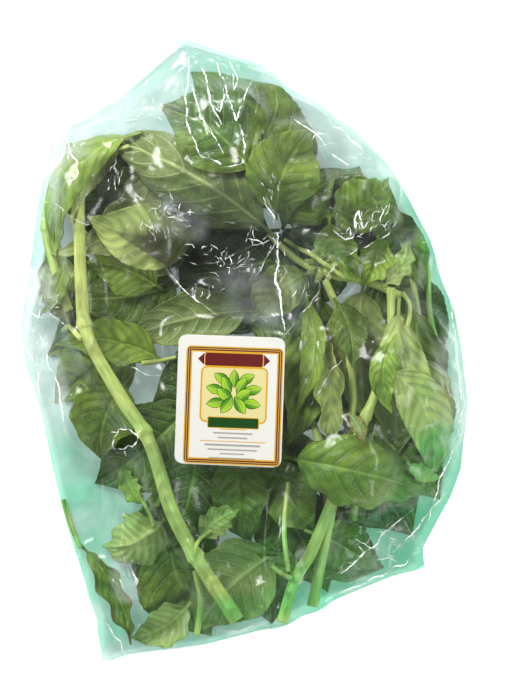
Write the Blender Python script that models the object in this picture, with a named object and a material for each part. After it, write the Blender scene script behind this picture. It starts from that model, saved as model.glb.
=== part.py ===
"""Basil bunch: cut basil sprigs lying in a thin film bag whose mouth is folded over the front.

Lengths below are millimetres, turned into metres when a mesh is made. +Z is up, the bag lies
flat on z = 0, and the sprigs' cut ends point to -Y. Each piece is laid on the pile below it.
"""

import math
from dataclasses import dataclass

import bmesh
import bpy
import numpy as np
from mathutils import Vector

MM = 0.001  # metres in a millimetre
MIDDLE_X, MIDDLE_Y = 0.4, 0.5  # middle of the bag's box in the layout below, which becomes the origin
FILM = 0.45  # thickness of the bag's wall
LEAF = 0.6  # thickness of a leaf blade
CARD = 0.5  # thickness of the label
GAP = 0.45  # clear space between two pieces that rest on each other
CELL = 2.0  # grid step of the pile's height map
HALF_X, HALF_Y = 130.0, 175.0  # half extent of the height map
FINE = 8  # samples between two grid points when a piece is laid down

# Leaf outline: a short petiole, then an ovate blade.
LEAF_ROWS = (0.0, 0.09, 0.17, 0.3, 0.44, 0.58, 0.72, 0.87, 1.0)
LEAF_COLUMNS = (-1.0, -0.5, 0.0, 0.5, 1.0)
PETIOLE_SHARE = 0.1
PETIOLE_HALF = 0.9
TIP_HALF = 0.5

# Bag outline from its lower left corner to its top, up either side.
BAG_LEFT = (
    (-70, -154), (-74, -130), (-80, -110), (-88, -86), (-95, -57), (-101, -28), (-109, -4),
    (-111, 13), (-107, 35), (-101, 73), (-98, 96), (-92, 112), (-77, 120), (-61, 131),
    (-45, 145), (-33, 155),
)
BAG_RIGHT = (
    (-66, -154), (-54, -149), (-21, -146), (3, -140), (34, -128), (58, -118), (76, -111),
    (90, -108), (89, -98), (98, -81), (103, -72), (108, -58), (111, -24), (108, 2),
    (104, 21), (98, 35), (91, 58), (83, 74), (70, 95), (57, 108), (36, 124), (22, 130),
    (11, 142), (-29, 155),
)
BAG_ROWS = (
    -154, -146, -136, -124, -111, -98, -84, -70, -56, -42, -28, -13, 3, 20, 36, 52, 68,
    84, 98, 111, 122, 132, 143, 155,
)
MOUTH_ROW = BAG_ROWS.index(84)  # from here up the folded back wall covers the front
BAG_COLUMNS = 12
# Free part of the mouth flap: height on the front, then its left and right edge.
FLAP_ROWS = ((68, -78, 79), (52, -56, 60), (36, -35, 42), (22, -18, 30), (9, 15, 23))
TEAR_CENTRE = (-58, -43)
TEAR_HALF = 5.5
LABEL_CENTRE = (-6.5, -24)
LABEL_SIZE = (52, 63)
LABEL_CORNER = 1.6  # how far each corner is drawn in
LABEL_TURN = math.radians(-2)

DARK_GREEN = (0.075, 0.13, 0.025)
MID_GREEN = (0.16, 0.24, 0.055)
PALE_GREEN = (0.31, 0.4, 0.13)
STEM_GREEN = (0.38, 0.5, 0.17)
FILM_GREEN = (0.36, 0.62, 0.47)
LABEL_WHITE = (0.86, 0.85, 0.8)


@dataclass(frozen=True)
class Leaf:
    """A leaf from its base to its tip. Angles are degrees, bend is a share of the length."""

    name: str
    base: tuple
    tip: tuple
    width: float
    bend: float = 0.0
    arch: float = 4.0
    fold: float = 10.0
    curl: tuple = (20.0, 20.0)
    twist: float = 0.0
    droop: float = 2.0
    colour: tuple = MID_GREEN


@dataclass(frozen=True)
class Stem:
    """A stem along its route, with the radius at each end and its nodes as shares of the length."""

    name: str
    route: tuple
    radii: tuple
    joints: tuple = ()


BACK = (
    Leaf("leaf_back_top_left", (-42, 70), (-88, 104), 50, 0.1, 3, 5, (12, 12), 0, 2, DARK_GREEN),
    Leaf("leaf_back_top", (-8, 70), (8, 128), 56, -0.05, 3, 5, (12, 12), 0, 2, DARK_GREEN),
    Leaf("leaf_back_upper_right", (28, 48), (66, 86), 48, -0.05, 3, 5, (12, 12), 0, 2, DARK_GREEN),
    Leaf("leaf_back_right", (62, 44), (92, -18), 46, 0.05, 3, 5, (12, 12), 0, 2, DARK_GREEN),
    Leaf("leaf_back_lower_right", (36, -40), (84, -92), 54, 0.05, 3, 5, (12, 12), 0, 2, DARK_GREEN),
    Leaf("leaf_back_left", (-42, 40), (-98, -2), 50, 0.06, 3, 5, (12, 12), 0, 2, DARK_GREEN),
    Leaf("leaf_back_centre", (26, 18), (-34, 58), 54, 0.05, 3, 5, (12, 12), 0, 2, DARK_GREEN),
    Leaf("leaf_back_middle", (44, 4), (-14, -34), 54, 0.05, 3, 5, (12, 12), 0, 2, DARK_GREEN),
    Leaf("leaf_behind_label", (6, 2), (-50, -38), 50, 0.05, 3, 5, (12, 12), 0, 2, DARK_GREEN),
    Leaf("leaf_back_lower_left", (-26, -26), (-74, -66), 48, 0.05, 3, 5, (12, 12), 0, 2, DARK_GREEN),
    Leaf("leaf_back_bottom", (-16, -64), (-48, -128), 46, -0.05, 3, 5, (12, 12), 0, 2, DARK_GREEN),
    Leaf("leaf_back_bottom_right", (8, -66), (42, -120), 44, 0.05, 3, 5, (12, 12), 0, 2, DARK_GREEN),
)
LOW_STEMS = (
    Stem("right_twig_outer", ((89, 54), (91, 38), (92, 20), (96, 2)), (1.2, 1.4)),
    Stem("right_twig_inner", ((82, 44), (86, 20), (88, 2)), (1.2, 1.4)),
    Stem("lower_stem_short", ((41, -66), (43, -96)), (1.9, 2.1)),
    Stem("lower_stem_middle", ((56, -72), (52, -92), (46, -113)), (1.8, 2.2)),
    Stem("inner_stem", ((22, 10), (29, -22), (38, -48), (34, -70)), (1.6, 2.0), (0.6,)),
)
MIDDLE = (
    Leaf("leaf_left_veined", (-18, 64), (-84, 56), 38, 0.1, 6, 10, (20, 15), 0, 3, PALE_GREEN),
    Leaf("leaf_upper_right_far", (40, 72), (80, 64), 30, 0.1, 6, 10, (25, 30), 0, 5, MID_GREEN),
    Leaf("leaf_left_edge", (-86, 12), (-93, 57), 23, 0.06, 6, 14, (30, 30), 6, 3, PALE_GREEN),
    Leaf("leaf_left_small", (-40, 30), (-78, 44), 27, -0.08, 5, 12, (25, 20), 0, 3, MID_GREEN),
    Leaf("leaf_centre_dark", (30, 52), (-28, 38), 38, 0.05, 5, 8, (20, 12), 0, 3, DARK_GREEN),
    Leaf("leaf_centre_pale", (34, 40), (4, 14), 26, -0.08, 5, 12, (25, 20), 0, 3, PALE_GREEN),
    Leaf("leaf_centre_right", (38, 34), (22, -46), 34, 0.06, 6, 12, (25, 30), 0, 3, MID_GREEN),
    Leaf("leaf_right_middle", (60, 36), (62, -36), 36, -0.06, 6, 12, (20, 30), 0, 4, MID_GREEN),
    Leaf("leaf_right_drooping", (84, 26), (100, -44), 30, -0.05, 6, 20, (40, 30), -6, 4, PALE_GREEN),
    Leaf("leaf_below_label_right", (12, -50), (36, -90), 30, -0.05, 5, 8, (20, 25), 0, 3, MID_GREEN),
    Leaf("leaf_below_label", (-2, -46), (3, -96), 31, -0.05, 6, 8, (22, 28), 0, 3, DARK_GREEN),
    Leaf("leaf_bottom_centre", (20, -98), (-24, -140), 44, -0.08, 6, 8, (22, 18), 0, 3, PALE_GREEN),
    Leaf("leaf_bottom_right", (30, -88), (66, -108), 26, 0.05, 4, 10, (20, 20), 0, 3, MID_GREEN),
    Leaf("leaf_left_middle_pale", (8, 20), (-58, 6), 30, -0.05, 6, 10, (25, 15), 0, 3, PALE_GREEN),
    Leaf("leaf_bottom_left_pale", (-26, -124), (-56, -143), 22, 0.1, 5, 12, (25, 30), 0, 3, PALE_GREEN),
)
MIDDLE_STEMS = (
    Stem("lower_stem_right", ((45, -68), (39, -98), (34, -125)), (2.3, 2.7)),
    Stem("upper_cross_stem", ((12, 58), (28, 44), (46, 37), (64, 33), (78, 27)), (1.4, 1.9), (0.5,)),
    Stem("centre_stem", ((40, 35), (48, 15), (53, -10), (53, -34), (48, -50)), (1.6, 2.1), (0.45,)),
    Stem("left_side_stem", ((-97, 74), (-98, 60), (-94, 44), (-86, 20)), (1.7, 2.3), (0.3,)),
)
UPPER = (
    Leaf("leaf_lower_left_large", (-56, -13), (-70, -54), 38, -0.12, 7, 10, (20, 35), 0, 5, MID_GREEN),
    Leaf("leaf_left_of_label", (-38, -6), (-93, 3), 25, -0.12, 6, 14, (25, 30), 0, 4, MID_GREEN),
    Leaf("leaf_lower_left_cupped", (-38, -82), (-70, -97), 32, 0.12, 6, -12, (-30, -35), 0, 5, PALE_GREEN),
    Leaf("leaf_right_pale", (64, 0), (74, -56), 26, 0.1, 6, 18, (45, 30), 0, 5, PALE_GREEN),
    Leaf("leaf_right_crumpled", (84, 2), (90, -58), 27, 0.1, 6, 18, (45, 30), 0, 5, PALE_GREEN),
    Leaf("leaf_right_bright", (66, 58), (58, 32), 20, 0.12, 5, 14, (25, 30), 0, 3, MID_GREEN),
    Leaf("leaf_right_curled", (68, 31), (82, 57), 16, -0.08, 5, 24, (60, 50), 12, 3, PALE_GREEN),
)
RIGHT_STEM = (
    Stem(
        "right_main_stem",
        ((72, 31), (72, 6), (66, -16), (58, -36), (51, -54), (42, -76), (33, -98), (25, -112), (19, -132)),
        (2.0, 2.8), (0.34, 0.86),
    ),
)
TOP = (
    Leaf("leaf_top_left_curled", (-44, 108), (-95, 48), 27, 0.24, 6, 18, (30, 35), 0, 6, PALE_GREEN),
    Leaf("leaf_top_large_dark", (20, 62), (-26, 139), 66, -0.08, 9, -6, (-28, -32), 0, 7, DARK_GREEN),
    Leaf("leaf_top_right_round", (19, 60), (46, 86), 31, 0.08, 6, 8, (25, 30), 0, 4, DARK_GREEN),
    Leaf("leaf_top_pale_long", (17, 55), (-72, 106), 40, -0.06, 7, -8, (-30, -22), 0, 6, PALE_GREEN),
    Leaf("leaf_narrow_folded", (35, 14), (42, -52), 21, 0.06, 6, 30, (40, 30), 10, 4, PALE_GREEN),
    Leaf("leaf_lower_right_large", (19, -52), (92, -71), 38, 0.04, 8, -8, (-25, -32), 0, 7, MID_GREEN),
    Leaf("leaf_small_pale", (-22, -94), (-2, -78), 16, 0.1, 4, 14, (30, 30), 0, 2, PALE_GREEN),
    Leaf("leaf_bottom_left_wilted", (-82, -96), (-56, -146), 19, 0.1, 5, 26, (50, 40), 10, 4, MID_GREEN),
    Leaf("leaf_bud_left", (-48, -76), (-60, -56), 12, 0.1, 3, 20, (30, 30), 0, 1, MID_GREEN),
    Leaf("leaf_bud_right", (-46, -78), (-40, -58), 11, -0.1, 3, 20, (30, 30), 0, 1, MID_GREEN),
)
TOP_STEMS = (
    Stem("long_petiole", ((22, -64), (20, -88), (22, -107)), (1.0, 1.2)),
    Stem("lower_twig", ((-24, -108), (-21, -124), (-23, -140)), (1.2, 1.5)),
    Stem(
        "main_stem",
        ((-81, 92), (-80, 60), (-79, 30), (-76, 7), (-60, -22), (-46, -44), (-35, -78), (-22, -103), (-3, -132)),
        (2.7, 3.6), (0.34, 0.6, 0.86),
    ),
)



def remove_everything():
    for item in list(bpy.data.objects):
        bpy.data.objects.remove(item, do_unlink=True)


def material(name, colour, roughness, alpha=1.0):
    made = bpy.data.materials.new(name)
    made.use_nodes = True
    shader = made.node_tree.nodes["Principled BSDF"]
    shader.inputs["Base Color"].default_value = (*colour, 1)
    shader.inputs["Roughness"].default_value = roughness
    shader.inputs["Metallic"].default_value = 0.0
    shader.inputs["Alpha"].default_value = alpha
    made.diffuse_color = (*colour, alpha)
    return made


def smooth_route(route, count):
    """Points on a Catmull-Rom curve through the route, evenly spread over its stretches."""
    points = np.array(route, float)
    ends = np.vstack([2 * points[0] - points[1], points, 2 * points[-1] - points[-2]])
    found = []
    for place in np.linspace(0, len(points) - 1, count):
        start = min(int(place), len(points) - 2)
        t = place - start
        a, b, c, d = ends[start : start + 4]
        found.append(
            0.5 * (2 * b + (c - a) * t + (2 * a - 5 * b + 4 * c - d) * t**2
                   + (3 * b - a - 3 * c + d) * t**3)
        )
    return np.array(found)


def refined(grid, times):
    """The grid with more points between its own, on straight lines, along its first two axes."""
    for axis in (0, 1):
        count = grid.shape[axis]
        place = np.linspace(0, count - 1, (count - 1) * times + 1)
        low = np.minimum(place.astype(int), count - 2)
        share = (place - low).reshape([-1 if i == axis else 1 for i in range(grid.ndim)])
        grid = np.take(grid, low, axis) * (1 - share) + np.take(grid, low + 1, axis) * share
    return grid


class Pile:
    """Height of what has been laid down so far, over a level grid."""

    def __init__(self, floor):
        self.shape = (int(2 * HALF_X / CELL), int(2 * HALF_Y / CELL))
        self.height = np.full(self.shape, floor)

    def cells(self, points):
        i = np.clip(((points[..., 0] + HALF_X) / CELL).astype(int), 1, self.shape[0] - 2)
        j = np.clip(((points[..., 1] + HALF_Y) / CELL).astype(int), 1, self.shape[1] - 2)
        return i, j

    def lay(self, layers, stiff=False, spread=2, spread_rounds=16, rounds=24, close_rounds=0):
        """How far each grid point of the layers is lifted so that they clear the pile.

        In the close rounds a point answers only for the half cell round it, so the sheet
        hugs the pile; the other rounds make sure of the rest.
        """
        rows, columns = layers[0].shape[:2]
        lift = np.zeros((rows, columns))
        for step in range(rounds):
            short = np.full((rows, columns), -np.inf)
            reach = FINE // 2 if step < close_rounds else FINE
            for layer in layers:
                raised = layer.copy()
                raised[..., 2] += lift
                points = refined(raised, FINE)
                missing = self.height[self.cells(points)] + GAP - points[..., 2]
                for i in range(rows):
                    for j in range(columns):
                        near = missing[
                            max(0, i * FINE - reach) : i * FINE + reach + 1,
                            max(0, j * FINE - reach) : j * FINE + reach + 1,
                        ]
                        short[i, j] = max(short[i, j], near.max())
            if stiff:
                short[:] = short.max(axis=1, keepdims=True)
            if short.max() <= 0:
                break
            lift += np.maximum(short, 0)
            if step < spread_rounds:
                lift = eased(lift, 4 * spread if stiff else spread)
        return lift

    def bridge(self, centre, size):
        """Makes the top of the pile one slanting plane over a rectangle, as a stiff patch does."""
        x = np.arange(self.shape[0]) * CELL - HALF_X
        y = np.arange(self.shape[1]) * CELL - HALF_Y
        i, j = np.meshgrid(
            np.flatnonzero(np.abs(x - centre[0]) < size[0] / 2),
            np.flatnonzero(np.abs(y - centre[1]) < size[1] / 2),
            indexing="ij",
        )
        places = np.column_stack([x[i].ravel(), y[j].ravel(), np.ones(i.size)])
        heights = self.height[i, j].ravel()
        slope = np.linalg.lstsq(places, heights, rcond=None)[0] * (0.5, 0.5, 1.0)
        plane = places @ slope
        self.height[i, j] = (plane + (heights - plane).max()).reshape(i.shape)

    def add(self, layers):
        """Raises the height map to the top of the layers, one cell wider all round."""
        for layer in layers:
            points = refined(layer, FINE)
            i, j = self.cells(points)
            for di in (-1, 0, 1):
                for dj in (-1, 0, 1):
                    np.maximum.at(self.height, (i + di, j + dj), points[..., 2])


def eased(lift, times):
    """The lift spread to its neighbours, never lower than it was."""
    for _ in range(times):
        wide = np.pad(lift, 1, mode="edge")
        near = (wide[:-2, 1:-1] + wide[2:, 1:-1] + wide[1:-1, :-2] + wide[1:-1, 2:]) / 4
        lift = np.maximum(lift, near)
    return lift


def blade_half_width(share, width):
    """Half width of a leaf at a share of its length: petiole, ovate blade, drawn-out tip."""
    along = min(max((share - PETIOLE_SHARE) / (1 - PETIOLE_SHARE), 0), 1)
    blade = width / 2 * math.sin(math.pi * along**0.75) ** 0.85 if 0 < along < 1 else 0
    return max(blade, PETIOLE_HALF if share < 0.5 else TIP_HALF)


def leaf_surface(leaf, rows=LEAF_ROWS, columns=LEAF_COLUMNS):
    """Middle surface of a leaf in its own shape, before it is laid on the pile."""
    base, tip = Vector(leaf.base), Vector(leaf.tip)
    along = tip - base
    left = Vector((-along.y, along.x))
    bow = (base + tip) / 2 + left * leaf.bend * 2
    grid = np.zeros((len(rows), len(columns), 3))
    fold = math.radians(leaf.fold)
    for i, share in enumerate(rows):
        middle = base * (1 - share) ** 2 + bow * 2 * share * (1 - share) + tip * share**2
        heading = ((bow - base) * (1 - share) + (tip - bow) * share).normalized()
        half = blade_half_width(share, leaf.width)
        rise = leaf.arch * 4 * share * (1 - share) - leaf.droop * share**3
        turn = math.radians(leaf.twist) * math.sin(math.pi * share)
        for j, side in enumerate(columns):
            curl = math.radians(leaf.curl[0 if side < 0 else 1]) or 0.001
            reach = half / curl * (math.sin(fold + curl * abs(side)) - math.sin(fold))
            up = half / curl * (math.cos(fold) - math.cos(fold + curl * abs(side)))
            reach = math.copysign(reach, side)
            across = reach * math.cos(turn) - up * math.sin(turn)
            height = reach * math.sin(turn) + up * math.cos(turn)
            grid[i, j] = (
                middle.x - heading.y * across, middle.y + heading.x * across, rise + height
            )
    return grid


def surface_normals(grid):
    along = np.gradient(grid, axis=0)
    across = np.gradient(grid, axis=1)
    normal = np.cross(across, along)
    normal *= np.sign(normal[len(grid) // 2, grid.shape[1] // 2, 2])
    return normal / np.linalg.norm(normal, axis=2, keepdims=True)


def link_mesh(name, points, faces, finish):
    """A mesh object from points in millimetres, with its faces turned outwards."""
    mesh = bpy.data.meshes.new(name)
    shape = bmesh.new()
    middle = Vector((MIDDLE_X, MIDDLE_Y, 0))
    corners = [shape.verts.new((Vector(point) - middle) * MM) for point in points]
    for face in faces:
        shape.faces.new([corners[i] for i in face])
    bmesh.ops.recalc_face_normals(shape, faces=shape.faces)
    bmesh.ops.triangulate(shape, faces=shape.faces)
    shape.to_mesh(mesh)
    shape.free()
    mesh.shade_smooth()
    mesh.set_sharp_from_angle(angle=math.radians(40))
    mesh.materials.append(finish)
    made = bpy.data.objects.new(name, mesh)
    bpy.context.collection.objects.link(made)
    return made


def closed_slab(name, top, bottom, finish):
    """A thin solid between two grids of the same shape."""
    rows, columns = top.shape[:2]
    size = rows * columns
    faces = []
    for i in range(rows - 1):
        for j in range(columns - 1):
            a = i * columns + j
            quad = (a, a + 1, a + columns + 1, a + columns)
            faces += [quad, tuple(size + k for k in reversed(quad))]
    border = [j for j in range(columns)]
    border += [i * columns + columns - 1 for i in range(1, rows)]
    border += [(rows - 1) * columns + j for j in range(columns - 2, -1, -1)]
    border += [i * columns for i in range(rows - 2, 0, -1)]
    for a, b in zip(border, border[1:] + border[:1]):
        faces.append((b, a, size + a, size + b))
    points = np.concatenate([top.reshape(-1, 3), bottom.reshape(-1, 3)])
    return link_mesh(name, points, faces, finish)


def add_leaf(leaf, pile):
    surface = leaf_surface(leaf)
    half = surface_normals(surface) * LEAF / 2
    layers = [surface + half, surface - half]
    lift = pile.lay(layers)
    for layer in layers:
        layer[..., 2] += lift
    pile.add(layers)
    closed_slab(leaf.name, layers[0], layers[1], material(leaf.name, leaf.colour, 0.5))


def stem_radius(stem, share):
    """Radius along a stem, a little swollen at each node."""
    swelling = sum(math.exp(-(((share - joint) / 0.03) ** 2)) for joint in stem.joints)
    return (stem.radii[0] + (stem.radii[1] - stem.radii[0]) * share) * (1 + 0.22 * swelling)


def add_stem(stem, pile):
    length = sum(math.dist(a, b) for a, b in zip(stem.route, stem.route[1:]))
    count = max(5, round(length / 13))
    route = smooth_route(stem.route, count)
    shares = np.linspace(0, 1, count)
    radii = [stem_radius(stem, share) for share in shares]
    heading = np.gradient(route, axis=0)
    heading /= np.linalg.norm(heading, axis=1, keepdims=True)
    side = np.column_stack([-heading[:, 1], heading[:, 0]])
    ring = np.zeros((count, 9, 3))
    for j in range(9):
        turn = 2 * math.pi * j / 8
        reach = np.array(radii) * 1.05
        ring[:, j, :2] = route + side * (reach * math.cos(turn))[:, None]
        ring[:, j, 2] = reach * math.sin(turn)
    lift = pile.lay([ring], stiff=True)
    ring[..., 2] += lift
    pile.add([ring])
    curve = bpy.data.curves.new(stem.name, "CURVE")
    curve.dimensions = "3D"
    curve.bevel_depth = MM
    curve.bevel_resolution = 2
    curve.use_fill_caps = True
    spline = curve.splines.new("POLY")
    spline.points.add(count - 1)
    for point, (x, y), height, radius in zip(spline.points, route, lift[:, 0], radii):
        point.co = ((x - MIDDLE_X) * MM, (y - MIDDLE_Y) * MM, height * MM, 1)
        point.radius = radius
    curve.materials.append(material(stem.name, STEM_GREEN, 0.45))
    bpy.context.collection.objects.link(bpy.data.objects.new(stem.name, curve))


def bag_side(chain, y):
    points = sorted(chain, key=lambda point: point[1])
    return float(np.interp(y, [p[1] for p in points], [p[0] for p in points]))


def bag_row(y, left, right, height):
    x = np.linspace(left, right, BAG_COLUMNS + 1)
    return np.column_stack([x, np.full(len(x), float(y)), np.full(len(x), height)])


def bag_sheets(pile):
    """Inner surfaces of the bag: its floor, its front wall and the back wall folded over it."""
    floor, front, flap = [], [], []
    for k, y in enumerate(BAG_ROWS):
        left, right = bag_side(BAG_LEFT, y), bag_side(BAG_RIGHT, y)
        floor.append(bag_row(y, left, right, FILM))
        target = front if k < MOUTH_ROW else flap
        target.append(bag_row(y, left, right, FILM + 2.0))
    floor, front = np.array(floor), np.array(front)
    free = [bag_row(y, left, right, FILM + 2.0) for y, left, right in reversed(FLAP_ROWS)]
    flap = np.array(free + flap)
    open_tear(front)
    pile.bridge(LABEL_CENTRE, LABEL_SIZE)
    front[..., 2] += pile.lay([front], spread=1, spread_rounds=2, close_rounds=16)
    front_top = front.copy()
    front_top[..., 2] += FILM
    pile.add([front_top])
    flap[..., 2] += pile.lay([flap], spread=1, spread_rounds=2, close_rounds=16)
    flap_top = flap.copy()
    flap_top[..., 2] += FILM
    pile.add([flap_top])
    return floor, front, flap


def tear_cell(front):
    """Row and column of the front wall's grid cell that holds the tear."""
    row = int(np.searchsorted(front[:, 0, 1], TEAR_CENTRE[1])) - 1
    column = int(np.searchsorted(front[row, :, 0], TEAR_CENTRE[0])) - 1
    return row, column


def open_tear(front):
    """Draws the corners of the tear's cell in to the size of the tear."""
    row, column = tear_cell(front)
    for i in (0, 1):
        for j in (0, 1):
            front[row + i, column + j, 0] = TEAR_CENTRE[0] + TEAR_HALF * (2 * j - 1)
            front[row + i, column + j, 1] = TEAR_CENTRE[1] + TEAR_HALF * (2 * i - 1)


def add_bag(pile):
    floor, front, flap = bag_sheets(pile)
    sheets = (floor, front, flap)
    starts = np.cumsum([0] + [sheet.shape[0] * sheet.shape[1] for sheet in sheets])
    width = BAG_COLUMNS + 1

    def corner(sheet, row, column):
        return int(starts[sheet]) + row * width + column

    torn = tear_cell(front)
    faces = []
    for sheet, grid in enumerate(sheets):
        for i in range(grid.shape[0] - 1):
            for j in range(BAG_COLUMNS):
                if sheet == 1 and (i, j) == torn:
                    continue
                quad = [corner(sheet, i, j), corner(sheet, i, j + 1)]
                quad += [corner(sheet, i + 1, j + 1), corner(sheet, i + 1, j)]
                faces.append(quad[::-1] if sheet == 0 else quad)
    free = len(FLAP_ROWS)
    for i in range(len(BAG_ROWS) - 1):
        if i == MOUTH_ROW - 1:
            continue  # the mouth is open here, under the folded wall
        above, row = (1, i) if i < MOUTH_ROW else (2, i - MOUTH_ROW + free)
        for j, turned in ((0, True), (BAG_COLUMNS, False)):
            quad = [corner(0, i, j), corner(0, i + 1, j)]
            quad += [corner(above, row + 1, j), corner(above, row, j)]
            faces.append(quad[::-1] if turned else quad)
    last = len(flap) - 1
    for j in range(BAG_COLUMNS):
        faces.append([corner(0, 0, j), corner(0, 0, j + 1), corner(1, 0, j + 1), corner(1, 0, j)])
        quad = [corner(0, len(floor) - 1, j), corner(0, len(floor) - 1, j + 1)]
        faces.append([*reversed(quad), corner(2, last, j), corner(2, last, j + 1)])
    points = np.concatenate([sheet.reshape(-1, 3) for sheet in sheets])
    link_shell("bag", points, faces, floor.shape[0] * width)


def link_shell(name, points, faces, floor_points):
    """The bag's wall: its inner surface and an outer one a film's thickness away, closed at edges."""
    normals = np.zeros_like(points)
    edges = {}
    for face in faces:
        corners = points[list(face)]
        normal = np.cross(corners[2] - corners[0], corners[3] - corners[1])
        length = np.linalg.norm(normal)
        if length > 1e-6:
            normals[list(face)] += normal / length
        for a, b in zip(face, face[1:] + face[:1]):
            edges[a, b] = True
    normals /= np.linalg.norm(normals, axis=1, keepdims=True)
    outer = points + normals * FILM
    outer[:floor_points, 2] = 0.0
    size = len(points)
    solid = [[size + i for i in face] for face in faces]
    solid += [list(reversed(face)) for face in faces]
    solid += [[b, a, size + a, size + b] for a, b in edges if (b, a) not in edges]
    finish = material(name, FILM_GREEN, 0.25, alpha=0.5)
    link_mesh(name, np.concatenate([points, outer]), solid, finish)


def add_label(pile):
    across = np.linspace(-0.5, 0.5, 5) * LABEL_SIZE[0]
    along = np.linspace(-0.5, 0.5, 6) * LABEL_SIZE[1]
    bottom = np.zeros((len(along), len(across), 3))
    turn = (math.cos(LABEL_TURN), math.sin(LABEL_TURN))
    for i, v in enumerate(along):
        for j, u in enumerate(across):
            if i in (0, len(along) - 1) and j in (0, len(across) - 1):
                u -= math.copysign(LABEL_CORNER, u)
                v -= math.copysign(LABEL_CORNER, v)
            bottom[i, j, 0] = LABEL_CENTRE[0] + u * turn[0] - v * turn[1]
            bottom[i, j, 1] = LABEL_CENTRE[1] + u * turn[1] + v * turn[0]
    bottom[..., 2] += pile.lay([bottom])
    top = bottom.copy()
    top[..., 2] += CARD
    closed_slab("label", top, bottom, material("label", LABEL_WHITE, 0.4))


def main():
    remove_everything()
    pile = Pile(FILM)
    for group in (BACK, LOW_STEMS, MIDDLE, MIDDLE_STEMS, UPPER, RIGHT_STEM, TOP, TOP_STEMS):
        for piece in group:
            if isinstance(piece, Leaf):
                add_leaf(piece, pile)
            else:
                add_stem(piece, pile)
    add_bag(pile)
    add_label(pile)


main()
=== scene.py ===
"""Looks for a basil bunch: leaves, stems, a crinkled film bag and a paper label, round the CAD frame.

Lengths are millimetres in the classes below and become metres when a mesh is made. The layout's
own middle, (MIDDLE_X, MIDDLE_Y), is the origin of the frame. Every leaf and stem takes its height
from the CAD node that it replaces. Leaves and stalks with no node of their own are laid on the heap
that these make, and the film is then drawn over all of it.
"""

from __future__ import annotations

import logging
import math
import random
from dataclasses import dataclass
from enum import Enum
from typing import Any, Sequence, Union

import bpy
import numpy as np
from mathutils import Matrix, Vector


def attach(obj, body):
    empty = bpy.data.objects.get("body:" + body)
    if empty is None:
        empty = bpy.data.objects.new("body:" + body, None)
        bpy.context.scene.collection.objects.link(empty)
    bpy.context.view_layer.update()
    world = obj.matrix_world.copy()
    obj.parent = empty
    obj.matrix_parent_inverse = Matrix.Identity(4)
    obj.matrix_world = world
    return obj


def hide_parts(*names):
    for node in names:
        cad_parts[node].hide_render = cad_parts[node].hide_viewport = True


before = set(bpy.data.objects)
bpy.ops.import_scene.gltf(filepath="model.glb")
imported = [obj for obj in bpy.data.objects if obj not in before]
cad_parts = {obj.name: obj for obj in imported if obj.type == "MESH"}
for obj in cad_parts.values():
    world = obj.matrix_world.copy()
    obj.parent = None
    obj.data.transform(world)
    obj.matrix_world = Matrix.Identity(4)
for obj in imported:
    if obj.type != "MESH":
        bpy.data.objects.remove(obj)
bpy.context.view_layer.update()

LOG = logging.getLogger("basil")
MM = 0.001  # metres in a millimetre
MIDDLE_X, MIDDLE_Y = 0.4, 0.5  # the layout's middle, which is the frame's origin
SEED = 7
BODY = "root"
WHITE = (1.0, 1.0, 1.0, 1.0)

# The CAD leaf: the shares of its length and width that have points, its thickness, the share of its
# length that is petiole, and half the width of its petiole and of its tip.
CAD_ROWS = np.array((0.0, 0.09, 0.17, 0.3, 0.44, 0.58, 0.72, 0.87, 1.0))
CAD_COLUMNS = np.array((-1.0, -0.5, 0.0, 0.5, 1.0))
CAD_LEAF = 0.6
PETIOLE_SHARE = 0.1
PETIOLE_HALF = 0.9
TIP_HALF = 0.5

# Side veins: their spacing along the blade, and how far each leans and bows towards the tip.
VEIN_SPACING = 0.125
VEIN_LEAN = 0.16
VEIN_BOW = 0.1

Colour = tuple[float, float, float]
Point = tuple[float, float]
Route = tuple[Point, ...]
Number = Union[float, "Value"]
Array = np.ndarray
Piece = bpy.types.Object
Material = bpy.types.Material


class Side(Enum):
    """Which side of a leaf looks up."""

    UPPER = 1
    LOWER = -1


# ---- shader maths


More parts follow.
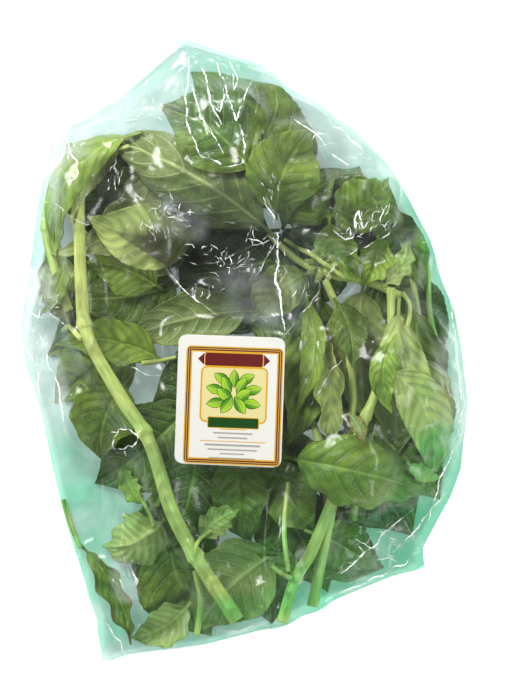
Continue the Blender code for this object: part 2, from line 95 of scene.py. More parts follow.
class Value:
    """A shader socket that takes part in sums; each sum adds its Math node."""

    def __init__(self, tree: "Tree", socket: Any) -> None:
        """Keeps the socket and the tree that its sums go in."""
        self.tree = tree
        self.socket = socket

    def _sum(self, operation: str, *terms: Number) -> "Value":
        """Adds one Math node and gives its result."""
        return self.tree.node("ShaderNodeMath", {"operation": operation}, dict(enumerate(terms)))

    def __add__(self, other: Number) -> "Value":
        """Sum."""
        return self._sum("ADD", self, other)

    __radd__ = __add__

    def __sub__(self, other: Number) -> "Value":
        """Difference."""
        return self._sum("SUBTRACT", self, other)

    def __rsub__(self, other: Number) -> "Value":
        """Difference the other way round."""
        return self._sum("SUBTRACT", other, self)

    def __mul__(self, other: Number) -> "Value":
        """Product."""
        return self._sum("MULTIPLY", self, other)

    __rmul__ = __mul__

    def __truediv__(self, other: Number) -> "Value":
        """Quotient."""
        return self._sum("DIVIDE", self, other)

    def __rtruediv__(self, other: Number) -> "Value":
        """Quotient the other way round."""
        return self._sum("DIVIDE", other, self)

    def __pow__(self, other: Number) -> "Value":
        """Power of a value that isn't negative."""
        return self._sum("POWER", self, other)

    def __abs__(self) -> "Value":
        """Size without its sign."""
        return self._sum("ABSOLUTE", self)

    def sine(self) -> "Value":
        """Sine, in radians."""
        return self._sum("SINE", self)

    def least(self, other: Number) -> "Value":
        """The smaller of two."""
        return self._sum("MINIMUM", self, other)

    def most(self, other: Number) -> "Value":
        """The larger of two."""
        return self._sum("MAXIMUM", self, other)

    def root(self) -> "Value":
        """Square root."""
        return self._sum("SQRT", self)

    def ramp(self, low: float, high: float) -> "Value":
        """0 below low, 1 above high, and a smooth rise between them.

        Args:
            low: value at which the rise starts; it may be the larger one for a fall.
            high: value at which it ends.

        Returns:
            The risen value.
        """
        turned = low > high
        settings = {"interpolation_type": "SMOOTHSTEP"}
        ends = (high, low) if turned else (low, high)
        risen = self.tree.node("ShaderNodeMapRange", settings, {0: self, 1: ends[0], 2: ends[1]})
        return 1.0 - risen if turned else risen


class Tree:
    """The nodes of one material."""

    def __init__(self, name: str, sky: Any = None) -> None:
        """Makes an empty material of that name, or empties the world's own tree.

        Args:
            name: the new material's name.
            sky: the world's node tree, or None for a material.
        """
        self.material = None
        tree = sky
        if sky is None:
            self.material = bpy.data.materials.new(name)
            self.material.use_nodes = True
            tree = self.material.node_tree
        self.output = "ShaderNodeOutputMaterial" if sky is None else "ShaderNodeOutputWorld"
        self.nodes = tree.nodes
        self.links = tree.links
        self.nodes.clear()

    def node(
        self,
        kind: str,
        settings: dict[str, Any] | None = None,
        inputs: dict[int | str, Any] | None = None,
        output: int | str = 0,
    ) -> Value:
        """Adds a node.

        Args:
            kind: the node's type.
            settings: its own settings, set before its sockets.
            inputs: values or links, by socket number or name.
            output: the socket that is given back.

        Returns:
            That output as a value.
        """
        made = self.nodes.new(kind)
        for key, value in (settings or {}).items():
            setattr(made, key, value)
        for key, value in (inputs or {}).items():
            socket = made.inputs[key]
            if isinstance(value, Value):
                self.links.new(value.socket, socket)
            else:
                socket.default_value = value
        return Value(self, made.outputs[output])

    def mix(self, share: Number, first: Any, second: Any) -> Value:
        """Colour between first and second."""
        return self.node(
            "ShaderNodeMix", {"data_type": "RGBA"}, {0: share, 6: rgba(first), 7: rgba(second)}, 2
        )

    def blend(self, share: Number, first: Value, second: Value) -> Value:
        """Shader between first and second."""
        return self.node("ShaderNodeMixShader", {}, {0: share, 1: first, 2: second})

    def place(self) -> Value:
        """The object's own coordinates."""
        return self.node("ShaderNodeTexCoord", {}, {}, "Object")

    def noise(self, where: Value, scale: float, detail: float = 4.0, rough: float = 0.55) -> Value:
        """Soft noise from 0 to 1."""
        sockets = {"Vector": where, "Scale": scale, "Detail": detail, "Roughness": rough}
        return self.node("ShaderNodeTexNoise", {}, sockets, 0)

    def ridges(self, where: Value, scale: float, detail: float = 3.0) -> Value:
        """Noise with sharp ridges, as in crumpled film."""
        settings = {"noise_type": "RIDGED_MULTIFRACTAL", "normalize": True}
        sockets = {"Vector": where, "Scale": scale, "Detail": detail}
        return self.node("ShaderNodeTexNoise", settings, sockets, 0)

    def cells(self, where: Value, scale: float) -> Value:
        """Distance to the border between cells."""
        settings = {"feature": "DISTANCE_TO_EDGE"}
        return self.node("ShaderNodeTexVoronoi", settings, {"Vector": where, "Scale": scale}, 0)

    def attribute(self, name: str) -> Value:
        """A number stored on the mesh."""
        return self.node("ShaderNodeAttribute", {"attribute_name": name}, {}, "Fac")

    def uv(self) -> tuple[Value, Value]:
        """The two parts of the piece's own UV map.

        Returns:
            Across and along.
        """
        where = self.node("ShaderNodeUVMap", {"uv_map": "UVMap"})
        parts = self.node("ShaderNodeSeparateXYZ", {}, {0: where})
        return parts, Value(self, parts.socket.node.outputs[1])

    def bump(self, height: Value, strength: float, distance: float) -> Value:
        """Normal bumped by a height."""
        return self.node(
            "ShaderNodeBump", {}, {"Height": height, "Strength": strength, "Distance": distance}
        )

    def principled(self, **sockets: Any) -> Value:
        """The general shader, its sockets named with _ for each space."""
        named = {key.replace("_", " "): value for key, value in sockets.items()}
        return self.node("ShaderNodeBsdfPrincipled", {}, named)

    def finish(self, shader: Value) -> Material | None:
        """Links the shader to the output, and gives the material, or None for the world."""
        made = self.nodes.new(self.output)
        self.links.new(shader.socket, made.inputs["Surface"])
        return self.material


def rgba(colour: Any) -> Any:
    """A colour with its alpha; a link stays as it is."""
    return colour if isinstance(colour, Value) else (*colour, 1.0)


# ---- finishes


@dataclass(frozen=True)
class LeafFinish:
    """Blade of a basil leaf, one side of it."""

    name: str
    deep: Colour
    light: Colour
    vein: Colour
    vein_share: float
    roughness: float
    net_bump: float
    brown: Colour = (0.24, 0.18, 0.05)
    # how much painted shade darkens the blade in the grooves beside the side veins
    groove: float = 0.7

    def make(self) -> Material:
        """Makes the material: veins along the leaf, a fine net between them, browned margins, and painted
        shade in the grooves beside the side veins.

        Returns:
            The material.
        """
        tree = Tree(self.name)
        place = tree.place()
        across, along = tree.uv()
        side = abs(across * 2.0 - 1.0)
        phase = along - VEIN_LEAN * side - VEIN_BOW * side * side
        arc = 1.0 - abs((phase * (math.pi / VEIN_SPACING)).sine())
        side_veins = arc**9.0 * side.ramp(1.0, 0.75)
        midrib = 1.0 / (1.0 + (side * 17.0) ** 2.0) ** 2.0
        veins = side_veins.most(midrib)
        net = tree.cells(place, 520.0).ramp(0.12, 0.0)
        mottle = tree.noise(place, 45.0, 5.0)
        fine = tree.noise(place, 260.0, 3.0)
        tone = tree.attribute("tone") + (mottle - 0.5) * 0.9 + (fine - 0.5) * 0.25
        blade = tree.mix(tone.ramp(0.0, 1.0), self.deep, self.light)
        # painted shade: the blade is darkened towards its deep colour in the grooves beside the side veins
        blade = tree.mix(tree.attribute("hollow").ramp(0.1, 1.0) * self.groove, blade, self.deep)
        blade = tree.mix(net * 0.16, blade, self.vein)
        blade = tree.mix(veins * self.vein_share, blade, self.vein)
        edge = side**4.0 + along**6.0
        withered = (tree.attribute("age") * (edge * 1.2 + mottle * 0.5)).ramp(0.5, 1.0)
        blade = tree.mix(withered, blade, self.brown)
        relief = fine * 0.5 - net * 0.5 - side_veins * 0.6
        shader = tree.principled(
            Base_Color=blade,
            Roughness=mottle * 0.2 + (self.roughness - 0.1),
            Specular_IOR_Level=0.35,
            Sheen_Weight=0.06,
            Normal=tree.bump(relief, self.net_bump, 0.0004),
        )
        return tree.finish(shader)


@dataclass(frozen=True)
class StemFinish:
    """Skin of a fresh stem: pale green with fine lengthwise streaks."""

    name: str = "stem"
    pale: Colour = (0.62, 0.65, 0.23)
    green: Colour = (0.38, 0.43, 0.1)
    scar: Colour = (0.2, 0.15, 0.06)

    def make(self) -> Material:
        """Makes the material from the tube's own UV map.

        Returns:
            The material.
        """
        tree = Tree(self.name)
        place = tree.place()
        around, along = tree.uv()
        streak_place = tree.node("ShaderNodeCombineXYZ", {}, {0: around * 22.0, 1: along * 1.6})
        streak = tree.noise(streak_place, 1.0, 4.0)
        blotch = tree.noise(place, 60.0, 4.0)
        skin = tree.mix((streak * 0.95 + blotch * 0.2).ramp(0.35, 0.85), self.green, self.pale)
        skin = tree.mix(tree.noise(place, 150.0, 2.0).ramp(0.7, 0.78) * 0.6, skin, self.scar)
        shader = tree.principled(
            Base_Color=skin,
            Roughness=streak * 0.2 + 0.32,
            Specular_IOR_Level=0.4,
            Normal=tree.bump(streak, 0.35, 0.0006),
        )
        return tree.finish(shader)


@dataclass(frozen=True)
class FilmFinish:
    """Thin clear film: tinted where light passes, glossy where it is thrown back.

    The mesh says where the film is milky, which in patches is painted reflection, where it is greener
    (mint), and where painted shade darkens it as it lies doubled over a dark hollow.
    """

    name: str
    tint: Colour
    edge_tint: Colour
    gloss: float
    mint: Colour
    crinkle: float
    # painted shade: dark violet tint where the folded mouth lies over the shadowed hollow
    painted_shade: Colour = (0.36, 0.345, 0.4)
    # white of the milky film, which in patches stands in as painted reflection
    milk_and_reflection_colour: Colour = (0.8, 0.86, 0.86)
    glint_roughness: float = 0.2

    def make(self) -> Material:
        """Makes the material: two tints by angle, a gloss by angle, a thin white milkiness that in patches
        is painted reflection, and a dark tint of painted shade.

        Returns:
            The material.
        """
        tree = Tree(self.name)
        place = tree.place()
        coarse = tree.ridges(place, 38.0, 3.0)
        streak = tree.noise(place, 70.0, 4.0, 0.6)
        normal = tree.bump(coarse, self.crinkle, 0.0022)
        facing = tree.node("ShaderNodeLayerWeight", {}, {"Blend": 0.5, "Normal": normal}, "Facing")
        fresnel = tree.node("ShaderNodeLayerWeight", {}, {"Blend": 0.24, "Normal": normal}, "Fresnel")
        clear = self.passing(tree, self.tint)
        passed = tree.blend((facing**1.7).least(1.0), clear, self.passing(tree, self.edge_tint))
        passed = tree.blend(tree.attribute("mint"), passed, self.passing(tree, self.mint))
        # painted shade: the mouth is tinted dark where it lies over the shadowed hollow
        passed = tree.blend(tree.attribute("painted_shade"), passed, self.passing(tree, self.painted_shade))
        milk_and_reflection_colour = tree.node("ShaderNodeBsdfDiffuse", {}, {"Color": rgba(self.milk_and_reflection_colour)})
        # milky film, in patches painted reflection
        haze_and_reflection_share = tree.attribute("haze_and_reflection") * (streak.ramp(0.3, 0.75) * 0.8 + 0.2)
        passed = tree.blend(haze_and_reflection_share, passed, milk_and_reflection_colour)
        shine = tree.node(
            "ShaderNodeBsdfGlossy",
            {},
            {"Color": WHITE, "Roughness": self.glint_roughness, "Normal": normal},
        )
        return tree.finish(tree.blend((fresnel * self.gloss).least(0.7), passed, shine))

    @staticmethod
    def passing(tree: Tree, colour: Colour) -> Value:
        """Film that only tints."""
        return tree.node("ShaderNodeBsdfTransparent", {}, {"Color": rgba(colour)})


@dataclass(frozen=True)
class FoldHighlightFinish:
    """A sharp fold in the film, painted white as a highlight and broken along its length."""

    name: str = "film_fold_highlight"
    # colour of the painted highlight on the fold ridges
    white: Colour = (0.95, 0.97, 0.96)

    def make(self) -> Material:
        """Makes the material.

        Returns:
            The material.
        """
        tree = Tree(self.name)
        broken = tree.noise(tree.place(), 330.0, 3.0).ramp(0.3, 0.56)
        clear = FilmFinish.passing(tree, (0.97, 0.99, 0.98))
        white = tree.principled(Base_Color=rgba(self.white), Roughness=0.25, Specular_IOR_Level=0.7)
        # painted highlight: white, broken along each ridge, as strong as the ridge's highlight value
        return tree.finish(tree.blend(broken * tree.attribute("painted_highlight"), clear, white))


@dataclass(frozen=True)
class LabelFinish:
    """Coated paper with a printed border, a banner, a framed rosette of leaves and plain bands."""

    name: str = "label_card"
    paper: Colour = (0.46, 0.455, 0.42)
    gold: Colour = (0.4, 0.22, 0.008)
    brown: Colour = (0.035, 0.01, 0.003)
    red: Colour = (0.075, 0.004, 0.003)
    cream: Colour = (0.44, 0.39, 0.18)
    leaf: Colour = (0.02, 0.13, 0.003)
    leaf_light: Colour = (0.22, 0.38, 0.015)
    green: Colour = (0.003, 0.035, 0.003)
    # Plain bands under the rosette: height, half width, half thickness.
    bands: tuple[tuple[float, float, float], ...] = (
        (-15.8, 9.6, 0.42), (-18.0, 7.2, 0.42), (-21.6, 13.6, 0.5), (-23.8, 12.0, 0.38),
        (-25.8, 6.0, 0.34), (-28.0, 11.2, 0.38),
    )
    # The rosette: its middle, then each leaf's place from there, its turn and its length.
    middle: Point = (1.8, 3.2)
    leaves: tuple[tuple[float, float, float, float], ...] = (
        (0.0, 7.6, 90.0, 9.0), (-5.8, 7.4, 150.0, 9.5), (5.8, 7.4, 30.0, 9.5),
        (-3.6, 4.4, 118.0, 9.5), (3.6, 4.4, 62.0, 9.5), (-9.0, 2.2, 168.0, 9.5),
        (9.0, 2.2, 12.0, 9.5), (-4.2, -0.6, 140.0, 10.5), (4.4, -0.6, 40.0, 10.5),
        (-8.6, -4.4, 190.0, 9.5), (8.6, -4.4, -10.0, 9.5), (-3.2, -5.4, 235.0, 10.0),
        (3.2, -5.4, -55.0, 10.0),
    )

    def box(self, u: Value, v: Value, centre: Point, half: Point, corner: float) -> Value:
        """Distance to a rounded rectangle, less than 0 inside it, in millimetres.

        Args:
            u: place across the card.
            v: place up the card.
            centre: the rectangle's middle.
            half: half its width and height.
            corner: the radius of its corners.

        Returns:
            The distance.
        """
        x = abs(u - centre[0]) - (half[0] - corner)
        y = abs(v - centre[1]) - (half[1] - corner)
        outside = (x.most(0.0) ** 2.0 + y.most(0.0) ** 2.0).root()
        return outside + x.most(y).least(0.0) - corner

    def make(self) -> Material:
        """Makes the material. The UV map holds millimetres from the label's middle, over 100.

        Returns:
            The material.
        """
        tree = Tree(self.name)
        across, along = tree.uv()
        u, v = across * 100.0 - 50.0, along * 100.0 - 50.0
        card: Any = self.paper
        border = self.box(u, v, (1.7, -2.4), (23.6, 28.6), 2.4)
        for low, high, colour in (
            (-0.6, 0.0, self.gold), (-1.15, -0.6, self.brown), (-1.5, -1.15, self.gold),
            (-2.2, -1.5, self.red), (-2.9, -2.2, self.gold),
        ):
            band = border.ramp(low - 0.06, low + 0.06) * border.ramp(high + 0.06, high - 0.06)
            card = tree.mix(band, card, colour)
        banner = self.box(u, v, (1.4, 19.9), (14.0, 3.1), 0.9)
        card = tree.mix(banner.ramp(0.5, 0.4), card, self.gold)
        card = tree.mix(banner.ramp(0.06, -0.06), card, self.red)
        point = (abs(u - 1.4) - 17.6) + abs(v - 19.9) * 1.05
        card = tree.mix(point.ramp(0.1, -0.1) * abs(u - 1.4).ramp(14.45, 14.55), card, self.red)
        panel = self.box(u, v, (1.85, 2.9), (16.4, 13.8), 3.2)
        card = tree.mix(panel.ramp(0.06, -0.06), card, self.gold)
        card = tree.mix(panel.ramp(-0.86, -0.98), card, self.cream)
        for x, y, turn, length in self.leaves:
            across_leaf, along_leaf = u - (x + self.middle[0]), v - (y + self.middle[1])
            card = self.leaf_on(tree, card, across_leaf, along_leaf, turn, length)
        bar = self.box(u, v, (2.0, -10.7), (12.2, 2.4), 0.4)
        card = tree.mix(bar.ramp(0.45, 0.35), card, self.gold)
        card = tree.mix(bar.ramp(0.06, -0.06), card, self.green)
        for height, half_width, half_thickness in self.bands:
            band = self.box(u, v, (2.0, height), (half_width, half_thickness), 0.2)
            card = tree.mix(band.ramp(0.1, -0.1) * 0.55, card, self.brown)
        for height, half_width in ((-13.9, 6.4), (-19.8, 16.0)):
            rule = self.box(u, v, (2.0, height), (half_width, 0.22), 0.05)
            card = tree.mix(rule.ramp(0.1, -0.1), card, self.gold)
        grain = tree.noise(tree.place(), 900.0, 2.0)
        shader = tree.principled(
            Base_Color=card,
            Roughness=grain * 0.12 + 0.42,
            Specular_IOR_Level=0.12,
            Normal=tree.bump(grain, 0.05, 0.0002),
        )
        return tree.finish(shader)

    def leaf_on(self, tree: Tree, card: Value, u: Value, v: Value, turn: float, length: float) -> Value:
        """Prints one small leaf with a lighter half and a pale midrib on the card.

        Args:
            tree: the material's nodes.
            card: the colour printed so far.
            u: place across the card from the leaf's middle.
            v: place up the card from there.
            turn: the leaf's direction in degrees.
            length: its length in millimetres.

        Returns:
            The colour with the leaf on it.
        """
        c, s = math.cos(math.radians(turn)), math.sin(math.radians(turn))
        x = (u * c + v * s) * (2.0 / length)
        y = u * -s + v * c
        lens = (1.0 - x * x) * (length * 0.27) - abs(y)
        card = tree.mix(lens.ramp(-0.1, 0.1), card, self.green)
        shade = tree.mix((y * 0.35 + x * 0.5).ramp(-0.9, 0.9), self.leaf, self.leaf_light)
        card = tree.mix(lens.ramp(0.2, 0.4), card, shade)
        return tree.mix(abs(y).ramp(0.26, 0.1) * lens.ramp(0.2, 0.6) * 0.45, card, self.cream)


# ---- workshop


class Workshop:
    """Makes pieces with Blender's own operators and gives them their place."""

    @staticmethod
    def clear_selection() -> None:
        """Deselects everything, so that an operator acts on the new piece only."""
        bpy.ops.object.select_all(action="DESELECT")

    @classmethod
    def grid(
        cls,
        name: str,
        points: Array,
        uv: Array | None = None,
        gone: Array | None = None,
        numbers: dict[str, Array] | None = None,
    ) -> Piece:
        """A sheet whose points are given in rows.

        Args:
            name: the piece's name.
            points: rows by columns by 3, in layout millimetres.
            uv: rows by columns by 2, or None.
            gone: rows by columns, true where the sheet has a hole.
            numbers: values by row and column for each attribute's name.

        Returns:
            The new object, at the origin, with its place in its mesh.
        """
        cls.clear_selection()
        rows, columns = points.shape[:2]
        bpy.ops.mesh.primitive_grid_add(x_subdivisions=columns - 1, y_subdivisions=rows - 1, size=1.0)
        piece = bpy.context.object
        piece.name = piece.data.name = name
        mesh = piece.data
        start = np.empty(len(mesh.vertices) * 3, np.float32)
        mesh.vertices.foreach_get("co", start)
        start = start.reshape(-1, 3)
        i = np.rint((start[:, 1] + 0.5) * (rows - 1)).astype(int)
        j = np.rint((start[:, 0] + 0.5) * (columns - 1)).astype(int)
        placed = (points[i, j] - (MIDDLE_X, MIDDLE_Y, 0.0)) * MM
        mesh.vertices.foreach_set("co", placed.astype(np.float32).ravel())
        if uv is not None:
            corner = np.empty(len(mesh.loops), np.int32)
            mesh.loops.foreach_get("vertex_index", corner)
            layer = mesh.uv_layers.get("UVMap") or mesh.uv_layers.new(name="UVMap")
            layer.data.foreach_set("uv", uv[i, j][corner].astype(np.float32).ravel())
        for key, values in (numbers or {}).items():
            layer = mesh.attributes.new(key, "FLOAT", "POINT")
            layer.data.foreach_set("value", values[i, j].astype(np.float32))
        mesh.update()
        if gone is not None and gone.any():
            cls.open_edit(piece)
            bpy.ops.mesh.select_all(action="DESELECT")
            cls.end_edit()
            mesh.vertices.foreach_set("select", gone[i, j])
            bpy.ops.object.mode_set(mode="EDIT")
            bpy.ops.mesh.delete(type="VERT")
            cls.end_edit()
        return piece

    @classmethod
    def join(cls, name: str, pieces: Sequence[Piece]) -> Piece:
        """Makes several pieces one.

        Args:
            name: the joined piece's name.
            pieces: what is joined, the one that stays first.

        Returns:
            The joined piece.
        """
        cls.clear_selection()
        for piece in pieces:
            piece.select_set(True)
        bpy.context.view_layer.objects.active = pieces[0]
        bpy.ops.object.join()
        pieces[0].name = pieces[0].data.name = name
        return pieces[0]

    @staticmethod
    def open_edit(piece: Piece) -> None:
        """Makes the piece the only one selected and opens it for editing, all selected.

        Args:
            piece: the piece to edit.
        """
        Workshop.clear_selection()
        piece.select_set(True)
        bpy.context.view_layer.objects.active = piece
        bpy.ops.object.mode_set(mode="EDIT")
        bpy.ops.mesh.select_all(action="SELECT")

    @staticmethod
    def end_edit() -> None:
        """Goes back to object mode."""
        bpy.ops.object.mode_set(mode="OBJECT")

    @classmethod
    def tube(cls, name: str, rings: Array, uv: Array) -> Piece:
        """A closed tube through rings whose first and last columns meet.

        Args:
            name: the piece's name.
            rings: rows by columns by 3, in layout millimetres.
            uv: rows by columns by 2.

        Returns:
            The tube, with its ends closed.
        """
        piece = cls.grid(name, rings, uv)
        cls.open_edit(piece)
        bpy.ops.mesh.remove_doubles(threshold=0.00001)
        bpy.ops.mesh.select_all(action="DESELECT")
        bpy.ops.mesh.select_mode(type="EDGE")
        bpy.ops.mesh.select_non_manifold()
        bpy.ops.mesh.edge_face_add()
        bpy.ops.mesh.select_all(action="SELECT")
        bpy.ops.mesh.normals_make_consistent(inside=False)
        bpy.ops.mesh.select_mode(type="VERT")
        cls.end_edit()
        return piece

    @staticmethod
    def thicken(piece: Piece, thickness: float, back: int = 0) -> None:
        """Gives a sheet its thickness, half to each side, with another material on its back.

        Args:
            piece: the sheet.
            thickness: in millimetres.
            back: how many slots further the back's material is.
        """
        Workshop.clear_selection()
        piece.select_set(True)
        bpy.context.view_layer.objects.active = piece
        modifier = piece.modifiers.new("thickness", "SOLIDIFY")
        modifier.thickness = thickness * MM
        modifier.offset = 0.0
        modifier.use_even_offset = False
        modifier.material_offset = back
        bpy.ops.object.modifier_apply(modifier=modifier.name)

    @staticmethod
    def number(piece: Piece, name: str, value: float) -> None:
        """Stores one number all over the piece."""
        layer = piece.data.attributes.new(name, "FLOAT", "POINT")
        layer.data.foreach_set("value", np.full(len(piece.data.vertices), value, np.float32))

    @staticmethod
    def done(piece: Piece, slot: str, *nodes: str) -> Piece:
        """Shades the piece smooth, hangs it on the body and hides the CAD nodes that it replaces.

        Args:
            piece: the finished piece.
            slot: the name of a material slot; not used.
            nodes: the CAD nodes that it replaces.

        Returns:
            The piece.
        """
        piece.data.shade_smooth()
        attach(piece, BODY)
        if nodes:
            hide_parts(*nodes)
        LOG.info("%s: %d faces", piece.name, len(piece.data.polygons))
        return piece


def points_of(piece: Piece) -> Array:
    """A piece's points in layout millimetres.

    Args:
        piece: a finished piece or a CAD node, at the origin.

    Returns:
        Its points, one a row.
    """
    points = np.empty(len(piece.data.vertices) * 3, np.float32)
    piece.data.vertices.foreach_get("co", points)
    return points.reshape(-1, 3).astype(float) / MM + (MIDDLE_X, MIDDLE_Y, 0.0)


def cad_points(node: str) -> Array:
    """A CAD node's points in layout millimetres, each once."""
    return np.unique(np.round(points_of(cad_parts[node]), 3), axis=0)


def softened(grid: Array, axis: int, times: int) -> Array:
    """The grid averaged with its neighbours along one axis, its ends kept.

    Args:
        grid: the values.
        axis: the axis along which they are averaged.
        times: how many rounds.

    Returns:
        The softened values.
    """
    for _ in range(times):
        wide = np.concatenate([grid.take([0], axis), grid, grid.take([-1], axis)], axis)
        count = grid.shape[axis]
        before, after = wide.take(range(count), axis), wide.take(range(2, count + 2), axis)
        grid = grid * 0.5 + (before + after) * 0.25
    return grid


def waves(x: Array, y: Array, length: float, seed: int, count: int = 5) -> Array:
    """Smooth unevenness from -1 to 1, with humps about as long as given, in millimetres.

    Args:
        x, y: places across and along.
        length: about how long a hump is.
        seed: what the draws start from.
        count: how many waves are added up.

    Returns:
        The unevenness at each place.
    """
    draw = random.Random(seed)
    total = np.zeros_like(x)
    for _ in range(count):
        turn = draw.uniform(0.0, 2.0 * math.pi)
        pitch = 2.0 * math.pi / (length * draw.uniform(0.7, 1.5))
        across = (x * math.cos(turn) + y * math.sin(turn)) * pitch
        total += np.sin(across + draw.uniform(0.0, 6.28))
    return total / count


# ---- leaves


@dataclass(frozen=True)
class Leaf:
    """A leaf from its base to its tip, shaped as its CAD node is, with the blade's relief."""

    node: str
    base: Point
    tip: Point
    width: float
    bend: float = 0.0
    arch: float = 4.0
    fold: float = 10.0
    curl: Point = (20.0, 20.0)
    twist: float = 0.0
    droop: float = 2.0
    tone: float = 0.5
    side: Side = Side.UPPER
    age: float = 0.25

    GRID = (72, 41)  # rows along the leaf and columns across it
    SMALL_GRID = (28, 13)
    SMALL_WIDTH = 13  # a leaf no wider than this has the small grid
    THICKNESS = 0.38
    TOOTH = 3.2  # from one tooth of the margin to the next
    TOOTH_DEPTH = 0.025  # share of the half width
    TOOTHED_WIDTH = 20  # narrower leaves have a smooth margin
    LOWEST = 0.7  # above the floor
    EASING = 14  # rounds of softening between the CAD's points
    PUFF = 0.036  # height of the puffed cells, as a share of the width
    MIDRIB_DEPTH = 0.8
    CRUMPLES = ((1.3, 15.0), (0.45, 6.0))  # height and length of the uneven humps
    RIPPLE = 1.5  # height of the margin's waves

    def seed(self) -> int:
        """A number of the leaf's own, the same on each run."""
        return SEED + sum(ord(letter) * (k + 1) for k, letter in enumerate(self.node))

    def half_widths(self, shares: Array, toothed: bool) -> Array:
        """Half width at each share of the length: petiole, ovate blade, drawn-out tip.

        Args:
            shares: shares of the length.
            toothed: whether the margin has its teeth and the tip is drawn out.

        Returns:
            The half widths.
        """
        along = np.clip((shares - PETIOLE_SHARE) / (1 - PETIOLE_SHARE), 0, 1)
        blade = self.width / 2 * np.sin(math.pi * along**0.75) ** 0.85
        blade = blade * (1.0 - 0.42 * np.clip((along - 0.6) / 0.4, 0, 1) ** 2 * toothed)
        if toothed:
            length = math.dist(self.base, self.tip)
            teeth = (shares * length / self.TOOTH) % 1.0
            depth = self.TOOTH_DEPTH if self.width > self.TOOTHED_WIDTH else 0.0
            blade = blade * (1.0 - depth * teeth * (along > 0.12))
        return np.maximum(blade, np.where(shares < 0.5, PETIOLE_HALF, TIP_HALF))

    def surface(self, shares: Array, sides: Array, toothed: bool = False) -> Array:
        """Middle surface of the leaf in its own shape, before it lies on the pile.

        Args:
            shares: shares of the length, one for each row.
            sides: shares of the half width from -1 to 1, one for each column.
            toothed: whether the margin has its teeth.

        Returns:
            Rows by columns by 3.
        """
        base, tip = np.array(self.base, float), np.array(self.tip, float)
        along = tip - base
        bow = (base + tip) / 2 + np.array((-along[1], along[0])) * self.bend * 2
        t = shares[:, None]
        middle = base * (1 - t) ** 2 + bow * 2 * t * (1 - t) + tip * t**2
        heading = (bow - base) * (1 - t) + (tip - bow) * t
        heading /= np.linalg.norm(heading, axis=1, keepdims=True)
        half = self.half_widths(shares, toothed)[:, None]
        rise = (self.arch * 4 * shares * (1 - shares) - self.droop * shares**3)[:, None]
        turn = (math.radians(self.twist) * np.sin(math.pi * shares))[:, None]
        fold = math.radians(self.fold)
        curl = np.radians(np.where(sides < 0, self.curl[0], self.curl[1]))[None, :]
        curl = np.where(curl == 0, 0.001, curl)
        span = np.abs(sides)[None, :]
        reach = half / curl * (np.sin(fold + curl * span) - math.sin(fold)) * np.sign(sides)[None, :]
        up = half / curl * (math.cos(fold) - np.cos(fold + curl * span))
        across = reach * np.cos(turn) - up * np.sin(turn)
        height = reach * np.sin(turn) + up * np.cos(turn)
        grid = np.zeros((len(shares), len(sides), 3))
        grid[..., 0] = middle[:, :1] - heading[:, 1:] * across
        grid[..., 1] = middle[:, 1:] + heading[:, :1] * across
        grid[..., 2] = rise + height
        return grid

    @staticmethod
    def normals(grid: Array) -> Array:
        """Unit normals of a grid, upwards in its middle.

        Args:
            grid: rows by columns by 3.

        Returns:
            Rows by columns by 3.
        """
        normal = np.cross(np.gradient(grid, axis=1), np.gradient(grid, axis=0))
        normal *= np.sign(normal[len(grid) // 2, grid.shape[1] // 2, 2])
        return normal / np.linalg.norm(normal, axis=2, keepdims=True)

    def lifts(self) -> Array:
        """How far the CAD node lies above the leaf's own shape, at the CAD leaf's points.

        Returns:
            The lift in millimetres, by CAD row and column.
        """
        coarse = self.surface(CAD_ROWS, CAD_COLUMNS)
        top = coarse + self.normals(coarse) * CAD_LEAF / 2
        points = cad_points(self.node)
        lift = np.full(top.shape[:2], np.nan)
        for i in range(top.shape[0]):
            for j in range(top.shape[1]):
                apart = np.hypot(points[:, 0] - top[i, j, 0], points[:, 1] - top[i, j, 1])
                near = points[apart < 0.03]
                if len(near):
                    lift[i, j] = near[:, 2].max() - top[i, j, 2]
        known = ~np.isnan(lift)
        lift[~known] = lift[known].mean()
        return lift

    def lifted(self, grid: Array, shares: Array, sides: Array) -> Array:
        """The grid at the height of the CAD leaf, eased between the CAD's points.

        Args:
            grid: the leaf's own shape.
            shares: the rows' shares of the length.
            sides: the columns' shares of the half width.

        Returns:
            The raised grid.
        """
        coarse = self.lifts()
        rows = np.array([np.interp(shares, CAD_ROWS, coarse[:, j]) for j in range(coarse.shape[1])])
        fine = np.array([np.interp(sides, CAD_COLUMNS, rows[:, i]) for i in range(len(shares))])
        fine = softened(softened(fine, 0, self.EASING), 1, self.EASING)
        grid = grid.copy()
        grid[..., 2] += fine
        return grid

